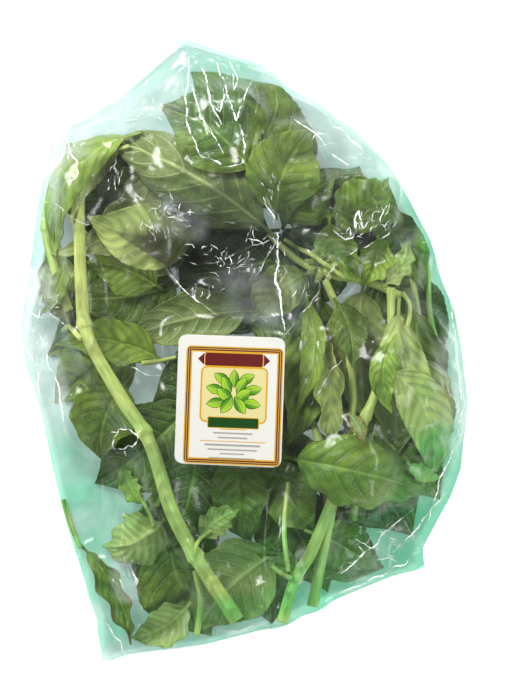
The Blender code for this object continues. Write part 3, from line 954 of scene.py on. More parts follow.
    def relief(self, grid: Array, shares: Array, sides: Array) -> Array:
        """Height of the blade's puffed cells, veins, crumples and waved margin, in millimetres.

        Args:
            grid: the leaf's surface.
            shares: the rows' shares of the length.
            sides: the columns' shares of the half width.

        Returns:
            The height by row and column.
        """
        along = np.clip((shares - PETIOLE_SHARE) / (1 - PETIOLE_SHARE), 0, 1)[:, None]
        span = np.abs(sides)[None, :]
        half = self.half_widths(shares, False)[:, None]
        puff = np.abs(np.sin(math.pi * self.phase(along, span) / VEIN_SPACING)) ** 0.6
        puff = puff * (1 - np.exp(-((span * half / 2.0) ** 2))) * (1 - span**4)
        groove = np.exp(-((span * half / 0.8) ** 2))
        blade = np.minimum(1, along * 8) * np.minimum(1, (1 - along) * 6)
        height = self.side.value * blade * (puff * self.width * self.PUFF - groove * self.MIDRIB_DEPTH)
        seed = self.seed()
        for k, (rise, length) in enumerate(self.CRUMPLES):
            height += blade * rise * waves(grid[..., 0], grid[..., 1], length, seed + k)
        draw = random.Random(seed + 2)
        for edge in (-1, 1):
            ripple = np.sin(along * draw.uniform(16, 26) + draw.uniform(0, 6))
            height += blade * ripple * np.where(sides * edge > 0, span, 0) ** 3 * self.RIPPLE
        return height

    @staticmethod
    def phase(along: Array, span: Array) -> Array:
        """Place along the blade, counted where the side vein through it leaves the midrib."""
        return along - VEIN_LEAN * span - VEIN_BOW * span**2

    def hollow(self, along: Array, span: Array) -> Array:
        """1 in the grooves beside the side veins, 0 on top of the puffed cells between them; painted shade
        darkens the blade there.
        """
        return 1 - np.abs(np.sin(math.pi * self.phase(along, span) / VEIN_SPACING)) ** 0.8

    def build(self, finishes: dict[Side, Material]) -> Piece:
        """Makes the leaf and hides the CAD node that it replaces.

        Args:
            finishes: the material of each side.

        Returns:
            The finished piece.
        """
        rows, columns = self.GRID if self.width > self.SMALL_WIDTH else self.SMALL_GRID
        shares = np.linspace(0, 1, rows)
        sides = np.linspace(-1, 1, columns)
        grid = self.lifted(self.surface(shares, sides, True), shares, sides)
        grid += self.normals(grid) * self.relief(grid, shares, sides)[..., None]
        grid[..., 2] = np.maximum(grid[..., 2], self.LOWEST)
        along = np.clip((shares - PETIOLE_SHARE) / (1 - PETIOLE_SHARE), 0, 1)
        uv = np.zeros((rows, columns, 2))
        uv[..., 0] = 0.5 + 0.5 * sides[None, :]
        uv[..., 1] = along[:, None]
        # where the blade's material paints shade in the grooves beside the side veins
        hollow = self.hollow(along[:, None], np.abs(sides)[None, :])
        piece = Workshop.grid(self.node + "_blade", grid, uv, None, {"hollow": hollow})
        down = Side.LOWER if self.side is Side.UPPER else Side.UPPER
        Workshop.open_edit(piece)
        bpy.ops.mesh.normals_make_consistent(inside=False)
        Workshop.end_edit()
        middle = piece.data.polygons[len(piece.data.polygons) // 2 + columns // 2]
        if middle.normal.z < 0:
            piece.data.flip_normals()
        piece.data.materials.append(finishes[self.side])
        piece.data.materials.append(finishes[down])
        Workshop.thicken(piece, self.THICKNESS, 1)
        Workshop.number(piece, "tone", self.tone)
        Workshop.number(piece, "age", self.age)
        return Workshop.done(piece, self.slot(), *self.stands_for())

    def stands_for(self) -> tuple[str, ...]:
        """The CAD nodes that this leaf replaces."""
        return (self.node,)

    def slot(self) -> str:
        """The record's material slot nearest to this leaf.

        Returns:
            The slot's name.
        """
        if self.side is Side.LOWER:
            return "leaf_pale"
        return "leaf_dark" if self.tone < 0.3 else "leaf_mid"


@dataclass(frozen=True)
class Filler(Leaf):
    """A leaf of the bunch that lies over what is below it and has no CAD node of its own."""

    heap: "Heights | None" = None
    lid: "Heights | None" = None

    BRIDGE = 12.0  # hollows of the heap narrower than this are passed over
    CLEAR = 1.5  # above what it lies on
    ARCH_KEPT = 0.35  # share of its own arch
    HEAP_GAP, LID_GAP = 0.5, 0.8  # least gaps to what is below and above

    def lifted(self, grid: Array, shares: Array, sides: Array) -> Array:
        """The grid laid over the heap and under the lid, with some of its own arch kept.

        Args:
            grid: the leaf's own shape.
            shares: the rows' shares of the length.
            sides: the columns' shares of the half width.

        Returns:
            The laid grid.
        """
        grid = grid.copy()
        x, y = grid[..., 0], grid[..., 1]
        rest = self.heap.at(self.heap.bridged(self.BRIDGE, 4), x, y)
        lie = rest + self.CLEAR + grid[..., 2] * self.ARCH_KEPT
        if self.lid is not None:
            least = self.heap.at(self.heap.map, x, y) + self.HEAP_GAP
            lie = np.minimum(lie, np.maximum(-self.lid.at(self.lid.map, x, y) - self.LID_GAP, least))
        grid[..., 2] = softened(softened(lie, 0, 5), 1, 5)
        return grid

    def stands_for(self) -> tuple[str, ...]:
        """None: the node is only its name."""
        return ()


# ---- stems


@dataclass(frozen=True)
class Stem:
    """A stem along its route, with the radius at each end and nodes where leaves grew."""

    node: str
    route: Route
    radii: Point
    joints: tuple[float, ...] = ()

    SIDES = 20
    STEP = 0.8
    CAD_STEP = 13  # from ring to ring of the CAD tube
    RING_REACH, RING_RADIUS = 1.2, 6.0  # a CAD ring's points lie this near its middle
    SWELL, SWELL_REACH = 0.24, 2.6  # how much a joint widens the stem, and how far along it
    RING, RING_BEYOND, RING_WIDTH = 0.16, 1.6, 0.8  # the narrow ring just beyond the joint
    SQUARE = 0.055  # how far the section is from round
    WAVER, WAVER_LENGTH = 0.12, 9.0
    UV_LENGTH = 20.0

    def path(self, count: int) -> Array:
        """Points on a smooth curve through the route.

        Args:
            count: how many.

        Returns:
            Count by 2.
        """
        points = np.array(self.route, float)
        ends = np.vstack([2 * points[0] - points[1], points, 2 * points[-1] - points[-2]])
        found = []
        for place in np.linspace(0, len(points) - 1, count):
            start = min(int(place), len(points) - 2)
            t = place - start
            a, b, c, d = ends[start : start + 4]
            found.append(
                0.5 * (2 * b + (c - a) * t + (2 * a - 5 * b + 4 * c - d) * t**2
                       + (3 * b - a - 3 * c + d) * t**3)
            )
        return np.array(found)

    def length(self) -> float:
        """Length of the route in millimetres."""
        return sum(math.dist(a, b) for a, b in zip(self.route, self.route[1:]))

    def heights(self, path: Array) -> Array:
        """Height of the stem's middle along the path, from the CAD tube's rings.

        Args:
            path: points along the stem.

        Returns:
            The height at each point.
        """
        points = cad_points(self.node)
        count = max(5, round(self.length() / self.CAD_STEP))
        rings = self.path(count)
        turned = np.gradient(rings, axis=0)
        turned /= np.linalg.norm(turned, axis=1, keepdims=True)
        found = []
        for centre, along in zip(rings, turned):
            away = points[:, :2] - centre
            near = (np.abs(away @ along) < self.RING_REACH) & (np.hypot(*away.T) < self.RING_RADIUS)
            found.append(points[near, 2].mean() if near.any() else np.nan)
        found = np.array(found)
        known = ~np.isnan(found)
        share = np.linspace(0, 1, count)
        return softened(np.interp(np.linspace(0, 1, len(path)), share[known], found[known]), 0, 40)

    def build(self, finish: Material) -> Piece:
        """Makes the stem and hides the CAD node that it replaces.

        Args:
            finish: its skin.

        Returns:
            The finished piece.
        """
        count = max(12, round(self.length() / self.STEP))
        path = self.path(count)
        heading = np.gradient(path, axis=0)
        heading /= np.linalg.norm(heading, axis=1, keepdims=True)
        middle = self.heights(path)
        shares = np.linspace(0, 1, count)
        swell = np.zeros(count)
        for joint in self.joints:
            beyond = (shares - joint) * self.length()
            ring = np.exp(-(((beyond - self.RING_BEYOND) / self.RING_WIDTH) ** 2))
            swell += self.SWELL * np.exp(-((beyond / self.SWELL_REACH) ** 2)) + self.RING * ring
        radius = (self.radii[0] + (self.radii[1] - self.radii[0]) * shares) * (1 + swell)
        radius = radius + self.WAVER * np.sin(shares * self.length() / self.WAVER_LENGTH)
        turns = np.linspace(0, 2 * math.pi, self.SIDES + 1)
        square = 1 + self.SQUARE * np.cos(4 * turns)
        side = np.column_stack([-heading[:, 1], heading[:, 0]])
        reach = radius[:, None] * square[None, :]
        rings = np.zeros((count, self.SIDES + 1, 3))
        rings[..., :2] = path[:, None, :] + side[:, None, :] * (reach * np.cos(turns))[..., None]
        rings[..., 2] = middle[:, None] + reach * np.sin(turns)
        rings[:, -1] = rings[:, 0]
        uv = np.zeros((count, self.SIDES + 1, 2))
        uv[..., 0] = np.linspace(0, 1, self.SIDES + 1)[None, :]
        uv[..., 1] = (shares * self.length() / self.UV_LENGTH)[:, None]
        piece = Workshop.tube(self.node + "_skin", rings, uv)
        piece.data.materials.append(finish)
        return Workshop.done(piece, "stem", *self.stands_for())

    def stands_for(self) -> tuple[str, ...]:
        """The CAD nodes that this stem replaces."""
        return (self.node,)


@dataclass(frozen=True)
class Twig(Stem):
    """A thin stalk that lies on what is below it and has no CAD node of its own."""

    heap: "Heights | None" = None

    def heights(self, path: Array) -> Array:
        """Height of the stalk's middle, resting on the heap."""
        lie = self.heap.at(self.heap.map, path[:, 0], path[:, 1])
        return np.maximum(softened(lie, 0, 6), softened(lie, 0, 2)) + max(self.radii)

    def stands_for(self) -> tuple[str, ...]:
        """None: the node is only its name."""
        return ()


# ---- layout

UP, UNDER = Side.UPPER, Side.LOWER


def back(node: str, base: Point, tip: Point, width: float, bend: float, tone: float) -> Leaf:
    """A leaf at the back of the bunch, nearly flat."""
    return Leaf(node, base, tip, width, bend, 3, 5, (12, 12), 0, 2, tone, UP)


# In the order of Leaf's fields: base, tip, width, bend, arch, fold, curl, twist, droop, tone, side, age.
LEAVES = (
    back("leaf_back_top_left", (-42, 70), (-88, 104), 50, 0.1, 0.3),
    back("leaf_back_top", (-8, 70), (8, 128), 56, -0.05, 0.2),
    back("leaf_back_upper_right", (28, 48), (66, 86), 48, -0.05, 0.3),
    back("leaf_back_right", (62, 44), (92, -18), 46, 0.05, 0.3),
    back("leaf_back_lower_right", (36, -40), (84, -92), 54, 0.05, 0.35),
    back("leaf_back_left", (-42, 40), (-98, -2), 50, 0.06, 0.3),
    back("leaf_back_centre", (26, 18), (-34, 58), 54, 0.05, 0.1),
    back("leaf_back_middle", (44, 4), (-14, -34), 54, 0.05, 0.2),
    back("leaf_behind_label", (6, 2), (-50, -38), 50, 0.05, 0.1),
    back("leaf_back_lower_left", (-26, -26), (-74, -66), 48, 0.05, 0.2),
    back("leaf_back_bottom", (-16, -64), (-48, -128), 46, -0.05, 0.3),
    back("leaf_back_bottom_right", (8, -66), (42, -120), 44, 0.05, 0.3),
    Leaf("leaf_left_veined", (-18, 64), (-84, 56), 38, 0.1, 6, 10, (20, 15), 0, 3, 0.5, UNDER),
    Leaf("leaf_upper_right_far", (40, 72), (80, 64), 30, 0.1, 6, 10, (25, 30), 0, 5, 0.45, UP),
    Leaf("leaf_left_edge", (-86, 12), (-93, 57), 23, 0.06, 6, 14, (30, 30), 6, 3, 0.5, UNDER),
    Leaf("leaf_left_small", (-40, 30), (-78, 44), 27, -0.08, 5, 12, (25, 20), 0, 3, 0.6, UP),
    Leaf("leaf_centre_dark", (30, 52), (-28, 38), 38, 0.05, 5, 8, (20, 12), 0, 3, 0.1, UP),
    Leaf("leaf_centre_pale", (34, 40), (4, 14), 26, -0.08, 5, 12, (25, 20), 0, 3, 0.6, UNDER),
    Leaf("leaf_centre_right", (38, 34), (22, -46), 34, 0.06, 6, 12, (25, 30), 0, 3, 0.55, UP),
    Leaf("leaf_right_middle", (60, 36), (62, -36), 36, -0.06, 6, 12, (20, 30), 0, 4, 0.5, UNDER),
    Leaf("leaf_right_drooping", (84, 26), (100, -44), 30, -0.05, 6, 20, (40, 30), -6, 4, 0.4, UNDER),
    Leaf("leaf_below_label_right", (12, -50), (36, -90), 30, -0.05, 5, 8, (20, 25), 0, 3, 0.4, UP),
    Leaf("leaf_below_label", (-2, -46), (3, -96), 31, -0.05, 6, 8, (22, 28), 0, 3, 0.35, UP),
    Leaf("leaf_bottom_centre", (20, -98), (-24, -140), 44, -0.08, 6, 8, (22, 18), 0, 3, 0.4, UNDER),
    Leaf("leaf_bottom_right", (30, -88), (66, -108), 26, 0.05, 4, 10, (20, 20), 0, 3, 0.5, UP),
    Leaf("leaf_left_middle_pale", (8, 20), (-58, 6), 30, -0.05, 6, 10, (25, 15), 0, 3, 0.25, UNDER),
    Leaf("leaf_bottom_left_pale", (-26, -124), (-56, -143), 22, 0.1, 5, 12, (25, 30), 0, 3, 0.6, UNDER),
    Leaf("leaf_lower_left_large", (-56, -13), (-70, -54), 38, -0.12, 7, 10, (20, 35), 0, 5, 0.5, UP, 0.25),
    Leaf("leaf_left_of_label", (-38, -6), (-93, 3), 25, -0.12, 6, 14, (25, 30), 0, 4, 0.6, UP),
    Leaf("leaf_lower_left_cupped", (-38, -82), (-70, -97), 32, 0.12, 6, -12, (-30, -35), 0, 5, 0.7, UNDER),
    Leaf("leaf_right_pale", (64, 0), (74, -56), 26, 0.1, 6, 18, (45, 30), 0, 5, 0.5, UNDER),
    Leaf("leaf_right_crumpled", (84, 2), (90, -58), 27, 0.1, 6, 18, (45, 30), 0, 5, 0.6, UNDER, 0.5),
    Leaf("leaf_right_bright", (66, 58), (58, 32), 20, 0.12, 5, 14, (25, 30), 0, 3, 0.8, UP),
    Leaf("leaf_right_curled", (68, 31), (82, 57), 16, -0.08, 5, 24, (60, 50), 12, 3, 0.6, UNDER),
    Leaf("leaf_top_left_curled", (-44, 108), (-95, 48), 27, 0.24, 6, 18, (30, 35), 0, 6, 0.6, UNDER),
    Leaf("leaf_top_large_dark", (20, 62), (-26, 139), 66, -0.08, 9, -6, (-28, -32), 0, 7, 0.3, UP),
    Leaf("leaf_top_right_round", (19, 60), (46, 86), 31, 0.08, 6, 8, (25, 30), 0, 4, 0.35, UP),
    Leaf("leaf_top_pale_long", (17, 55), (-72, 106), 40, -0.06, 7, -8, (-30, -22), 0, 6, 0.15, UNDER),
    Leaf("leaf_narrow_folded", (35, 14), (42, -52), 21, 0.06, 6, 30, (40, 30), 10, 4, 0.7, UNDER),
    Leaf("leaf_lower_right_large", (19, -52), (92, -71), 38, 0.04, 8, -8, (-25, -32), 0, 7, 0.55, UP, 0.4),
    Leaf("leaf_small_pale", (-22, -94), (-2, -78), 16, 0.1, 4, 14, (30, 30), 0, 2, 0.7, UNDER),
    Leaf("leaf_bottom_left_wilted", (-82, -96), (-56, -146), 19, 0.1, 5, 26, (50, 40), 10, 4, 0.5, UP, 0.9),
    Leaf("leaf_bud_left", (-48, -76), (-60, -56), 12, 0.1, 3, 20, (30, 30), 0, 1, 0.6, UP),
    Leaf("leaf_bud_right", (-46, -78), (-40, -58), 11, -0.1, 3, 20, (30, 30), 0, 1, 0.6, UP),
)


def extra(
    node: str, base: Point, tip: Point, width: float, bend: float, tone: float, side: Side, **more: Any
) -> dict[str, Any]:
    """The facts of one filler leaf."""
    return dict(node=node, base=base, tip=tip, width=width, bend=bend, tone=tone, side=side, **more)


# Leaves with no CAD node: those that lie low between the others, then those on top.
LOW_FILLERS = (
    extra("low_left", (-48, 2), (-94, -26), 42, -0.08, 0.45, UP),
    extra("low_left_upper", (-70, 20), (-98, 52), 34, 0.05, 0.2, UP),
    extra("low_bottom_left", (-38, -90), (-16, -142), 48, -0.06, 0.45, UP),
    extra("low_bottom_middle", (2, -92), (14, -136), 42, 0.05, 0.3, UP),
    extra("low_bottom_right", (34, -84), (70, -108), 34, -0.08, 0.35, UP),
    extra("low_right", (58, 16), (88, -66), 48, -0.06, 0.35, UP),
    extra("low_right_end", (64, -40), (98, -74), 36, 0.05, 0.5, UP),
    extra("low_upper_right", (24, 62), (58, 92), 42, -0.08, 0.3, UP),
    extra("low_right_top", (60, 74), (89, 30), 25, 0.08, 0.4, UP),
    extra("low_centre", (48, 62), (12, 26), 46, 0.05, 0.05, UP),
    extra("low_centre_left", (18, 60), (-34, 66), 40, 0.06, 0.02, UP),
    extra("low_middle", (-4, 22), (46, 6), 40, 0.06, 0.25, UP),
    extra("low_under_label", (-24, -40), (-38, -98), 40, 0.08, 0.2, UP),
    extra("low_lower_middle", (18, -30), (30, -84), 38, -0.06, 0.25, UP),
    extra("low_left_mid", (-28, 34), (-84, 26), 40, 0.05, 0.25, UP),
    extra("low_top_left", (-38, 92), (-84, 66), 38, 0.06, 0.3, UP),
)
TOP_FILLERS = (
    extra("top_veined", (-20, 60), (-76, 66), 35, 0.12, 1.0, UNDER, fold=8, age=0.0),
    extra("top_sweep_inner", (-56, 101), (-83, 62), 17, -0.2, 0.75, UNDER, fold=16, age=0.1),
    extra("top_sweep_outer", (-50, 108), (-92, 46), 22, -0.22, 0.6, UP, fold=10, age=0.1),
    extra("top_large_left_lobe", (6, 84), (-42, 122), 44, -0.1, 0.34, UP, age=0.1),
    extra("top_large_right_lobe", (16, 64), (34, 110), 40, 0.1, 0.42, UP, age=0.1),
    extra("top_right_back", (40, 66), (72, 86), 30, -0.12, 0.6, UP, age=0.1),
    extra("top_right_mid", (42, 66), (58, 34), 22, -0.12, 0.75, UP, age=0.2),
    extra("top_right_long", (76, 26), (98, -50), 28, -0.1, 0.75, UNDER, fold=18, age=0.15),
    extra("top_right_small", (44, 26), (53, -8), 20, 0.1, 0.4, UP, fold=20, age=0.2),
    extra("top_left_of_stem", (-88, 44), (-101, 18), 12, 0.1, 0.5, UP, fold=18, age=0.2),
    extra("top_crumpled", (66, -6), (92, -66), 31, 0.18, 0.95, UNDER, fold=26, age=0.3),
    extra("top_crumpled_edge", (74, 8), (72, -30), 17, -0.15, 0.7, UP, fold=30, age=0.3),
    extra("top_dry_scrap", (51, -30), (58, -45), 9, 0.1, 0.3, UNDER, fold=20, age=2.0),
    extra("top_ragged_tip", (80, -54), (99, -63), 11, -0.1, 0.9, UNDER, fold=20, age=0.9),
    extra("top_centre_sliver", (30, 30), (26, -30), 14, 0.1, 0.6, UP, fold=20, age=0.2),
)

# Stalks with no CAD node: name, route and the radius at each end.
TWIGS = (
    ("wilted_stalk", ((-90, -74), (-87, -84), (-84, -92), (-81, -98)), (1.3, 1.0)),
    ("left_leaf_stalk", ((-79, 6), (-86, 12), (-90, 10)), (1.2, 0.9)),
    ("label_leaf_stalk", ((-33, -3), (-42, -5), (-50, -6)), (0.9, 1.1)),
    ("sprig_stalk", ((-44, -86), (-47, -78), (-52, -70)), (0.9, 0.7)),
    ("small_leaf_stalk", ((-24, -100), (-22, -93), (-16, -88)), (0.9, 0.7)),
    ("bud_stalk", ((20, 55), (30, 49), (40, 42), (47, 37)), (0.9, 0.8)),
    ("right_leaf_stalk", ((78, 29), (82, 22), (80, 12)), (1.1, 0.8)),
    ("lower_leaf_stalk", ((24, -110), (18, -109), (14, -106)), (1.2, 0.9)),
)
# Dry bud scales round a point: turn and length of each.
BUDS = (
    (0, 6.0), (38, 5.0), (75, 6.5), (118, 5.5), (160, 6.0), (205, 5.0), (250, 6.5), (300, 5.5),
    (335, 4.5),
)
BUD_MIDDLE = (38.0, 42.0)
BUD_WIDTH = 3.6


def buds() -> tuple[dict[str, Any], ...]:
    """The facts of the dry bud scales, each a small pale leaf.

    Returns:
        The facts of each.
    """
    found = []
    for k, (turn, length) in enumerate(BUDS):
        x, y = math.cos(math.radians(turn)), math.sin(math.radians(turn))
        base = (BUD_MIDDLE[0] + 2.0 * x, BUD_MIDDLE[1] + 2.5 * y)
        tip = (base[0] + length * x, base[1] + length * y)
        found.append(extra(f"bud_scale_{k}", base, tip, BUD_WIDTH, 0.1, 1.0, UNDER, fold=20, age=0.4))
    return tuple(found)


STEMS = (
    Stem("right_twig_outer", ((89, 54), (91, 38), (92, 20), (96, 2)), (1.2, 1.4)),
    Stem("right_twig_inner", ((82, 44), (86, 20), (88, 2)), (1.2, 1.4)),
    Stem("lower_stem_short", ((41, -66), (43, -96)), (1.9, 2.1)),
    Stem("lower_stem_middle", ((56, -72), (52, -92), (46, -113)), (1.8, 2.2)),
    Stem("inner_stem", ((22, 10), (29, -22), (38, -48), (34, -70)), (1.6, 2.0), (0.6,)),
    Stem("lower_stem_right", ((45, -68), (39, -98), (34, -125)), (2.3, 2.7)),
    Stem("upper_cross_stem", ((12, 58), (28, 44), (46, 37), (64, 33), (78, 27)), (1.4, 1.9), (0.5,)),
    Stem("centre_stem", ((40, 35), (48, 15), (53, -10), (53, -34), (48, -50)), (1.6, 2.1), (0.45,)),
    Stem("left_side_stem", ((-97, 74), (-98, 60), (-94, 44), (-86, 20)), (1.7, 2.3), (0.3,)),
    Stem(
        "right_main_stem",
        ((72, 31), (72, 6), (66, -16), (58, -36), (51, -54), (42, -76), (33, -98), (25, -112), (19, -132)),
        (2.0, 2.8), (0.34, 0.86),
    ),
    Stem("long_petiole", ((22, -64), (20, -88), (22, -107)), (1.0, 1.2)),
    Stem("lower_twig", ((-24, -108), (-21, -124), (-23, -140)), (1.2, 1.5)),
    Stem(
        "main_stem",
        (
            (-81, 92), (-80, 60), (-79, 30), (-76, 7), (-60, -22), (-46, -44), (-35, -78),
            (-22, -103), (-3, -132),
        ),
        (2.7, 3.6), (0.34, 0.6, 0.86),
    ),
)

# What lies lowest: the low fillers go above these leaves and stems, and below all the others.
BACK_NAMES = ("leaf_back", "leaf_behind")
LOW_STEMS = ("right_twig_outer", "right_twig_inner", "lower_stem_short", "lower_stem_middle", "inner_stem")

# ---- bag


class Heights:
    """Height of a heap over a level grid, in layout millimetres."""

    CELL = 1.5
    HALF_X, HALF_Y = 126.0, 168.0

    def __init__(self, level: float) -> None:
        """Starts level."""
        self.shape = (int(2 * self.HALF_X / self.CELL) + 1, int(2 * self.HALF_Y / self.CELL) + 1)
        self.map = np.full(self.shape, level)
        x = np.arange(self.shape[0]) * self.CELL - self.HALF_X
        y = np.arange(self.shape[1]) * self.CELL - self.HALF_Y
        self.x, self.y = np.meshgrid(x, y, indexing="ij")

    def add(self, points: Array) -> None:
        """Raises the grid to the points, one cell wider all round.

        Args:
            points: points of a piece that lies on the heap.
        """
        i = np.clip(np.rint((points[:, 0] + self.HALF_X) / self.CELL).astype(int), 1, self.shape[0] - 2)
        j = np.clip(np.rint((points[:, 1] + self.HALF_Y) / self.CELL).astype(int), 1, self.shape[1] - 2)
        for di in (-1, 0, 1):
            for dj in (-1, 0, 1):
                np.maximum.at(self.map, (i + di, j + dj), points[:, 2])

    @staticmethod
    def _window(grid: Array, cells: int, choose: Any) -> Array:
        """The grid with each cell the most or least of its neighbourhood.

        Args:
            grid: the values.
            cells: how far the neighbourhood reaches.
            choose: np.maximum or np.minimum.

        Returns:
            The new values.
        """
        for axis in (0, 1):
            wide = np.concatenate([grid.take([0] * cells, axis), grid, grid.take([-1] * cells, axis)], axis)
            count = grid.shape[axis]
            best = wide.take(range(count), axis)
            for shift in range(1, 2 * cells + 1):
                best = choose(best, wide.take(range(shift, count + shift), axis))
            grid = best
        return grid

    def bridged(self, span: float, soften: int) -> Array:
        """The heights as a film lies on them: hollows narrower than the span are bridged.

        Args:
            span: the width that is bridged, in millimetres.
            soften: rounds of softening.

        Returns:
            The bridged heights.
        """
        cells = max(1, round(span / 2 / self.CELL))
        closed = self._window(self._window(self.map, cells, np.maximum), cells, np.minimum)
        return softened(softened(closed, 0, soften), 1, soften)

    def covering(self, span: float, soften: int) -> Array:
        """The bridged heights, nowhere below the heap itself.

        Args:
            span: the width that is bridged, in millimetres.
            soften: rounds of softening.

        Returns:
            The heights of a film that covers the heap.
        """
        least = self._window(self.map, 1, np.maximum) + 0.2
        field = self.bridged(span, soften)
        for _ in range(4):
            field = np.maximum(softened(softened(field, 0, 2), 1, 2), least)
        return field

    def at(self, field: Array, x: Array, y: Array) -> Array:
        """A field's value at places between its cells.

        Args:
            field: values by cell.
            x, y: places across and along.

        Returns:
            The value at each place.
        """
        u = np.clip((x + self.HALF_X) / self.CELL, 0, self.shape[0] - 1.001)
        v = np.clip((y + self.HALF_Y) / self.CELL, 0, self.shape[1] - 1.001)
        i, j = u.astype(int), v.astype(int)
        a, b = u - i, v - j
        low = field[i, j] * (1 - a) + field[i + 1, j] * a
        high = field[i, j + 1] * (1 - a) + field[i + 1, j + 1] * a
        return low * (1 - b) + high * b


@dataclass(frozen=True)
class Line:
    """A line over the film, with a measure of how near a place is to it."""

    points: Route
    height: float = 1.1
    width: float = 0.9

    def distance(self, x: Array, y: Array) -> Array:
        """How far places are from the line, in millimetres.

        Args:
            x, y: places across and along.

        Returns:
            The distance of each place.
        """
        best = np.full(np.shape(x), 1e9)
        for (ax, ay), (bx, by) in zip(self.points, self.points[1:]):
            length = (bx - ax) ** 2 + (by - ay) ** 2
            t = np.clip(((x - ax) * (bx - ax) + (y - ay) * (by - ay)) / length, 0, 1)
            best = np.minimum(best, np.hypot(x - ax - t * (bx - ax), y - ay - t * (by - ay)))
        return best

    def ridge(self, x: Array, y: Array) -> Array:
        """Height of a sharp fold along the line."""
        return self.height * np.exp(-self.distance(x, y) / self.width)

    def patch(self, x: Array, y: Array) -> Array:
        """The height within the width, fading out over as much again."""
        share = np.clip(2 - self.distance(x, y) / self.width, 0, 1)
        return self.height * share * share * (3 - 2 * share)


@dataclass(frozen=True)
class Cluster:
    """A crumpled spot of small folds: middle, reach, how many, their turn and how much it varies."""

    middle: Point
    reach: Point
    count: int
    turn: float = 0.0
    vary: float = 60.0
    length: Point = (2.0, 7.0)


def fold(*points: Point, height: float = 1.2) -> Line:
    """A visible fold line."""
    return Line(points, height, 1.1)


# Folds of the front wall, then of the mouth folded over it.
FRONT_FOLDS = (
    fold((-105, 42), (-107, 32), (-107.5, 22), (-101, 16), (-98.5, 28)),
    fold((-108, 6), (-104, -6), (-101, -22)),
    fold((-98, 4), (-97, -6), (-92, -18), (-88, -34)),
    fold((-95, 18.5), (-87, 12.5)),
    fold((-55.7, -104), (-53, -112), (-55, -118)),
    fold((-73.4, -131), (-72, -142), (-70.6, -152)),
    fold((-68, -134), (-61, -144), (-60, -149)),
    fold((84, -78), (66, -94), (48, -109)),
    fold((88, -96), (80, -106), (62, -114), (40, -122)),
    fold((100, -70), (86, -88), (74, -100)),
    fold((107, -40), (97, -62), (92, -84)),
    fold((102, 28), (105, 4), (107, -28)),
    fold((50, -2), (40, -12), (33, -26), height=0.6),
    fold((-62, -4), (-52, -10), (-40, -12), height=0.6),
)
MOUTH_FOLDS = (
    fold((-90, 111), (-87, 102.5), (-81, 92.5), (-80, 85), (-84.5, 81)),
    fold((-92, 72), (-82, 65), (-76, 61), (-74, 62), height=0.9),
    fold((-76, 51), (-76.3, 48), (-73.8, 44), (-71.3, 42.5), height=0.5),
    fold((17, 56), (6, 52), (-8, 45.5), (-22, 42), (-32, 46), height=0.6),
    fold((17, 56), (13, 48), (9, 40), (6, 37), height=0.6),
    fold((17, 57), (16.6, 36), (18.5, 22), (20.4, 10), height=1.9),
    fold((17, 56), (2, 61), (-18, 66), height=0.35),
    fold((-38.4, 41), (-32, 32.5), (-23.4, 25), (-12, 17.5), height=0.8),
    fold((44, 59), (49.7, 54.4), (53, 55), (56.6, 68.8), (59, 60), (61.6, 64)),
    fold((46, 45), (60.4, 51.3), (70.4, 57.5), (77.2, 65.6), height=0.8),
    fold((46, 45), (36.6, 29), (26.6, 15), (19, 6.3), height=0.7),
    fold((9.7, 75), (13, 69), (16.6, 62.5)),
    fold((25, 114), (35, 107.5), (43, 98), (52, 92)),
    fold((40, 118), (50, 108), (60, 98), (68, 92), height=0.8),
    fold((-76, 117), (-60, 114), (-44, 116), (-30, 112), height=0.6),
    fold((-66, 122), (-54, 128), (-42, 138), height=0.6),
)
TOP_FOLDS = (
    fold((-27, 146), (-28, 128), (-27.5, 112), (-21, 95)),
    fold((-21, 95), (-14.7, 92.5), (-7, 90), (-1, 90.6)),
    fold((-1, 90.6), (1, 101), (-2, 111)),
    fold((-14, 145), (-7.2, 126), (-4, 112), (4, 133)),
    fold((-27, 136), (-21, 116), (-9.7, 96.5)),
    fold((-24, 146), (-18.4, 136), (-16, 121), (-10.3, 110.6)),
    fold((-7, 144), (-2.2, 133), (-4.7, 127.5)),
    fold((-14, 120), (-12, 117), (-9, 125.6)),
)
FRONT_CLUSTERS = (
    Cluster((-104, 2), (4, 14), 16, 80, 30, (4, 12)),
    Cluster((-98, 22), (6, 6), 8, 60),
    Cluster((-58, -112), (5, 9), 9, 100, 30),
    Cluster((-70, -140), (3, 10), 7, 100, 25),
    Cluster((72, -98), (20, 10), 12, 150, 30, (4, 12)),
    Cluster((104, -40), (3, 26), 9, 95, 20, (4, 12)),
)
MOUTH_CLUSTERS = (
    Cluster((-34, 68), (8, 5), 30, 30, 70, (1.5, 4)),
    Cluster((-62, 84), (9, 5), 14, 90, 25, (1.5, 5)),
    Cluster((-6, 41), (12, 4), 20, 35, 60, (1.5, 5)),
    Cluster((-20, 27), (10, 5), 12, 70, 40, (1.5, 4.5)),
    Cluster((54, 58), (9, 6), 18, 60, 70, (1.5, 5)),
    Cluster((17, 42), (4, 10), 10, 85, 40, (2, 6)),
    Cluster((-20, 49), (16, 3), 10, 15, 40, (2, 5)),
    Cluster((14, 78), (4, 6), 8, 120, 40, (2, 5)),
    Cluster((-40, 58), (8, 8), 16, 115, 45, (2, 6)),
    Cluster((8, 50), (9, 6), 14, 60, 60, (2, 6)),
    Cluster((66, 64), (9, 6), 12, 60, 50, (2, 6)),
    Cluster((32, 26), (7, 7), 8, 60, 30, (2, 7)),
    Cluster((-86, 92), (5, 12), 9, 110, 40),
    Cluster((42, 104), (14, 7), 10, 145, 30, (3, 9)),
    Cluster((-56, 122), (16, 6), 9, 30, 40, (3, 8)),
    Cluster((-10, 128), (12, 12), 12, 105, 40, (3, 8)),
)


